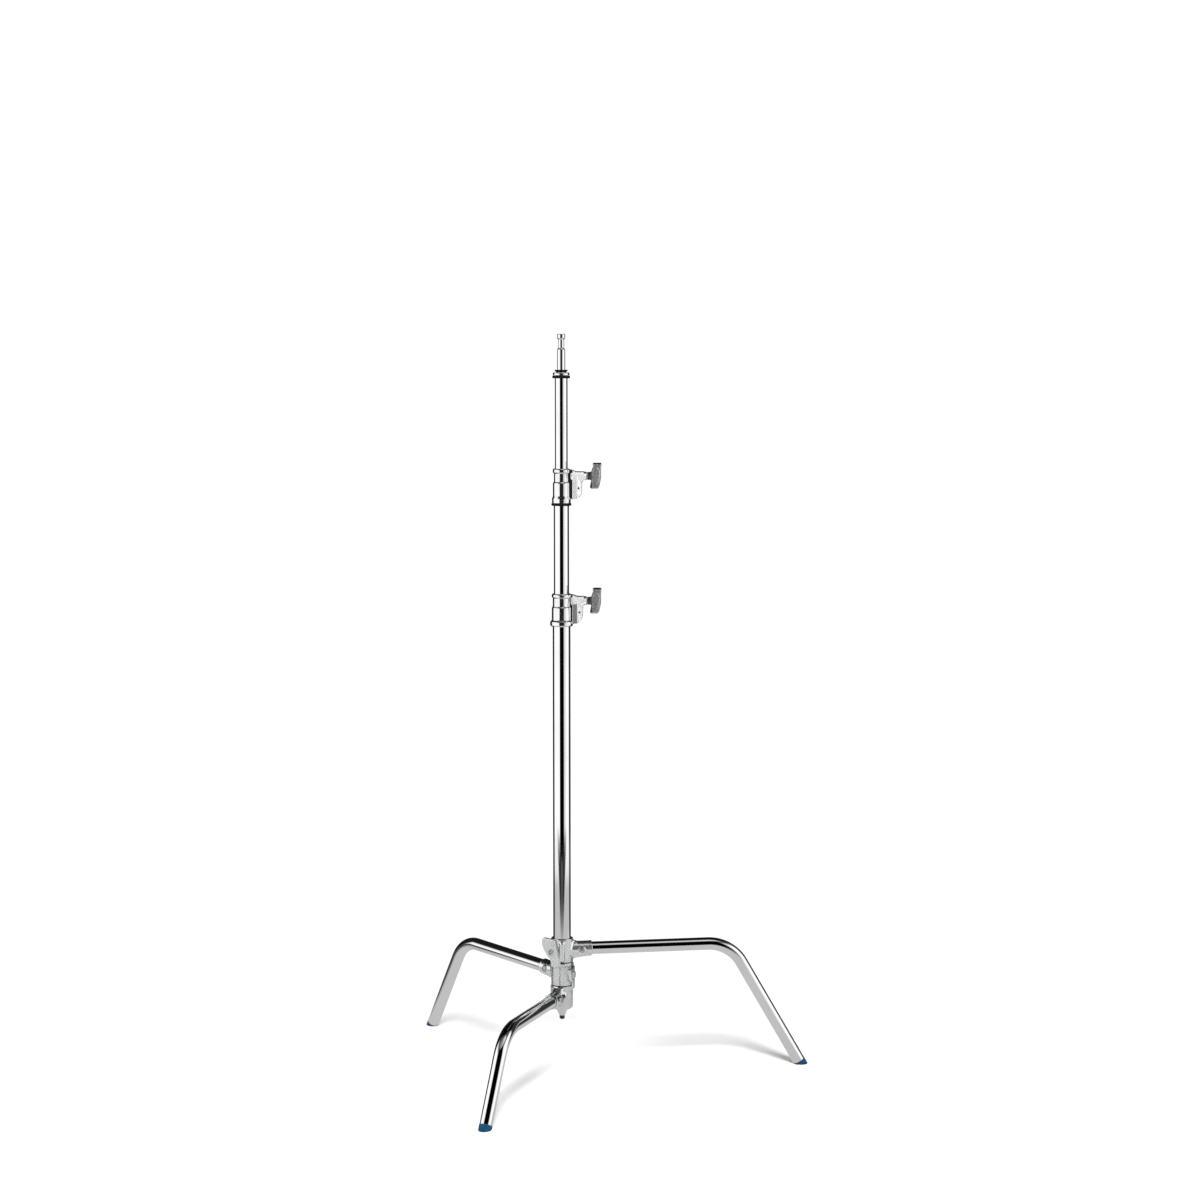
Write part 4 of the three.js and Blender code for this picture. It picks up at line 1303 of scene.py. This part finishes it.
def make_floor():
    """Flat floor that curves up into a wall two metres behind the stand."""
    flat_back, curve_r, curve_steps, wall_top = -2.0, 1.6, 12, 5.0
    # distance toward the camera, height
    profile = [(2.1, 0.0), (1.0, 0.0), (0.0, 0.0), (flat_back, 0.0)]
    for i in range(1, curve_steps + 1):
        angle = pi / 2 * i / curve_steps
        profile.append((flat_back - curve_r * sin(angle), curve_r * (1 - cos(angle))))
    profile.append((flat_back - curve_r, wall_top))
    columns = np.linspace(-5.0, 5.0, 21)
    verts, faces = [], []
    for toward, z in profile:
        for side in columns:
            point = COLUMN_FOOT + TOWARD * toward + SIDE * float(side)
            verts.append((point.x, point.y, z))
    width = len(columns)
    for i in range(len(profile) - 1):
        for k in range(width - 1):
            low, high = i * width + k, (i + 1) * width + k
            faces.append([low, low + 1, high + 1, high])
    ob = add_object(verts, faces, "floor_sweep")
    floor_paper()
    ob.data.materials.append(MATERIAL["floor_paper"])


def make_world():
    """Soft white studio, of which polished metal sees the parts.

    White walls at the sides, an overhead strip, a dark gap behind the camera, dark flags
    behind the stand and a dark ceiling. Azimuths run to the right from the camera's side,
    elevations up from the horizon, both in degrees.
    """
    world = bpy.data.worlds.new("studio")
    bpy.context.scene.world = world
    g = Graph(world, "ShaderNodeOutputWorld")
    x, y, z = g.split(g.add("ShaderNodeTexCoord", out="Generated"))
    near, side = toward_and_side(x, y)
    azimuth = side.math("ARCTAN2", near) * DEGREES
    elevation = z.math("ARCSINE", 0.0) * DEGREES
    off_camera = azimuth.math("ABSOLUTE", 0.0)
    # side walls: even on the left, rising away from the camera on the right, dark above
    walls = azimuth.step(span=(26.0, 72.0), to=(0.64, 1.10))
    walls = walls.max(azimuth.step(span=(0.0, 1.0), to=(1.08, 0.0)))
    walls = walls * elevation.step(span=(34.0, 52.0), to=(1.0, 0.06))
    # gap behind the camera: narrow below the horizon, wide above it
    gap = (azimuth.step(span=(25.0, 32.0), to=(1.0, 0.0))
           * azimuth.step(span=(-28.0, -21.0))
           * elevation.step(span=(48.0, 54.0), to=(1.0, 0.0)))
    wide = (off_camera.step(span=(40.0, 54.0), to=(1.0, 0.0))
            * elevation.step(span=(-1.0, 5.0))
            * elevation.step(span=(48.0, 54.0), to=(1.0, 0.0)))
    # strip light high on the camera's side, brighter on the right
    strip = (off_camera.step(span=(60.0, 80.0), to=(1.0, 0.0))
             * elevation.step(span=(52.0, 58.0))
             * elevation.step(span=(76.0, 84.0), to=(1.0, 0.0))
             * azimuth.step(span=(-30.0, 50.0), to=(0.15, 0.62)))
    # dark behind the stand, with a grey panel low in the middle
    left = azimuth.step(span=(-114.0, -104.0), to=(0.99, 0.0))
    right = azimuth.step(span=(98.0, 108.0), to=(0.0, 0.97))
    low_panel = (off_camera.step(span=(160.0, 168.0))
                 * elevation.step(span=(2.0, 7.0), to=(1.0, 0.0)) * 0.35)
    level = walls * (1.0 - gap) * (1.0 - wide) + strip
    level = level * (1.0 - (left + right)) + low_panel

    camera_ray, glossy_ray = g.rays()
    reflected = g.white("ShaderNodeBackground", strength=level)
    soft = g.white("ShaderNodeBackground", strength=0.42)
    plain = g.white("ShaderNodeBackground", strength=1.05)
    lighting = g.mix_shader(glossy_ray, soft, reflected)
    g.put(g.mix_shader(camera_ray, lighting, plain), g.output.inputs[0])


def point_at(ob, direction):
    ob.rotation_mode = "QUATERNION"
    ob.rotation_quaternion = direction.to_track_quat("-Z", "Y")
    bpy.context.scene.collection.objects.link(ob)


def make_light():
    """Key panel high in front of the stand: its soft shadows fall behind the legs."""
    panel = bpy.data.lights.new("key_panel", "AREA")
    panel.shape = "RECTANGLE"
    panel.size = panel.size_y = 0.8
    panel.energy = 148.0
    ob = bpy.data.objects.new("key_panel", panel)
    ob.location = COLUMN_FOOT + Vector((0, 0, 2.9)) + TOWARD * 2.05 + SIDE * 0.15
    ob.visible_glossy = False
    point_at(ob, COLUMN_FOOT - ob.location)


def make_camera():
    camera = bpy.data.cameras.new("camera")
    camera.lens = 71.3464
    camera.sensor_width = 36.0
    camera.sensor_fit = "HORIZONTAL"
    camera.clip_start = 0.1
    camera.clip_end = 50
    ob = bpy.data.objects.new("camera", camera)
    ob.location = CAMERA_AT
    heading, down = radians(81.3808), radians(5.6002)    # from +X about Z, and below level
    point_at(ob, Vector((cos(heading) * cos(down), sin(heading) * cos(down), -sin(down))))
    bpy.context.scene.camera = ob


make_floor()
make_world()
make_light()
make_camera()
bpy.context.scene.view_settings.view_transform = "Standard"
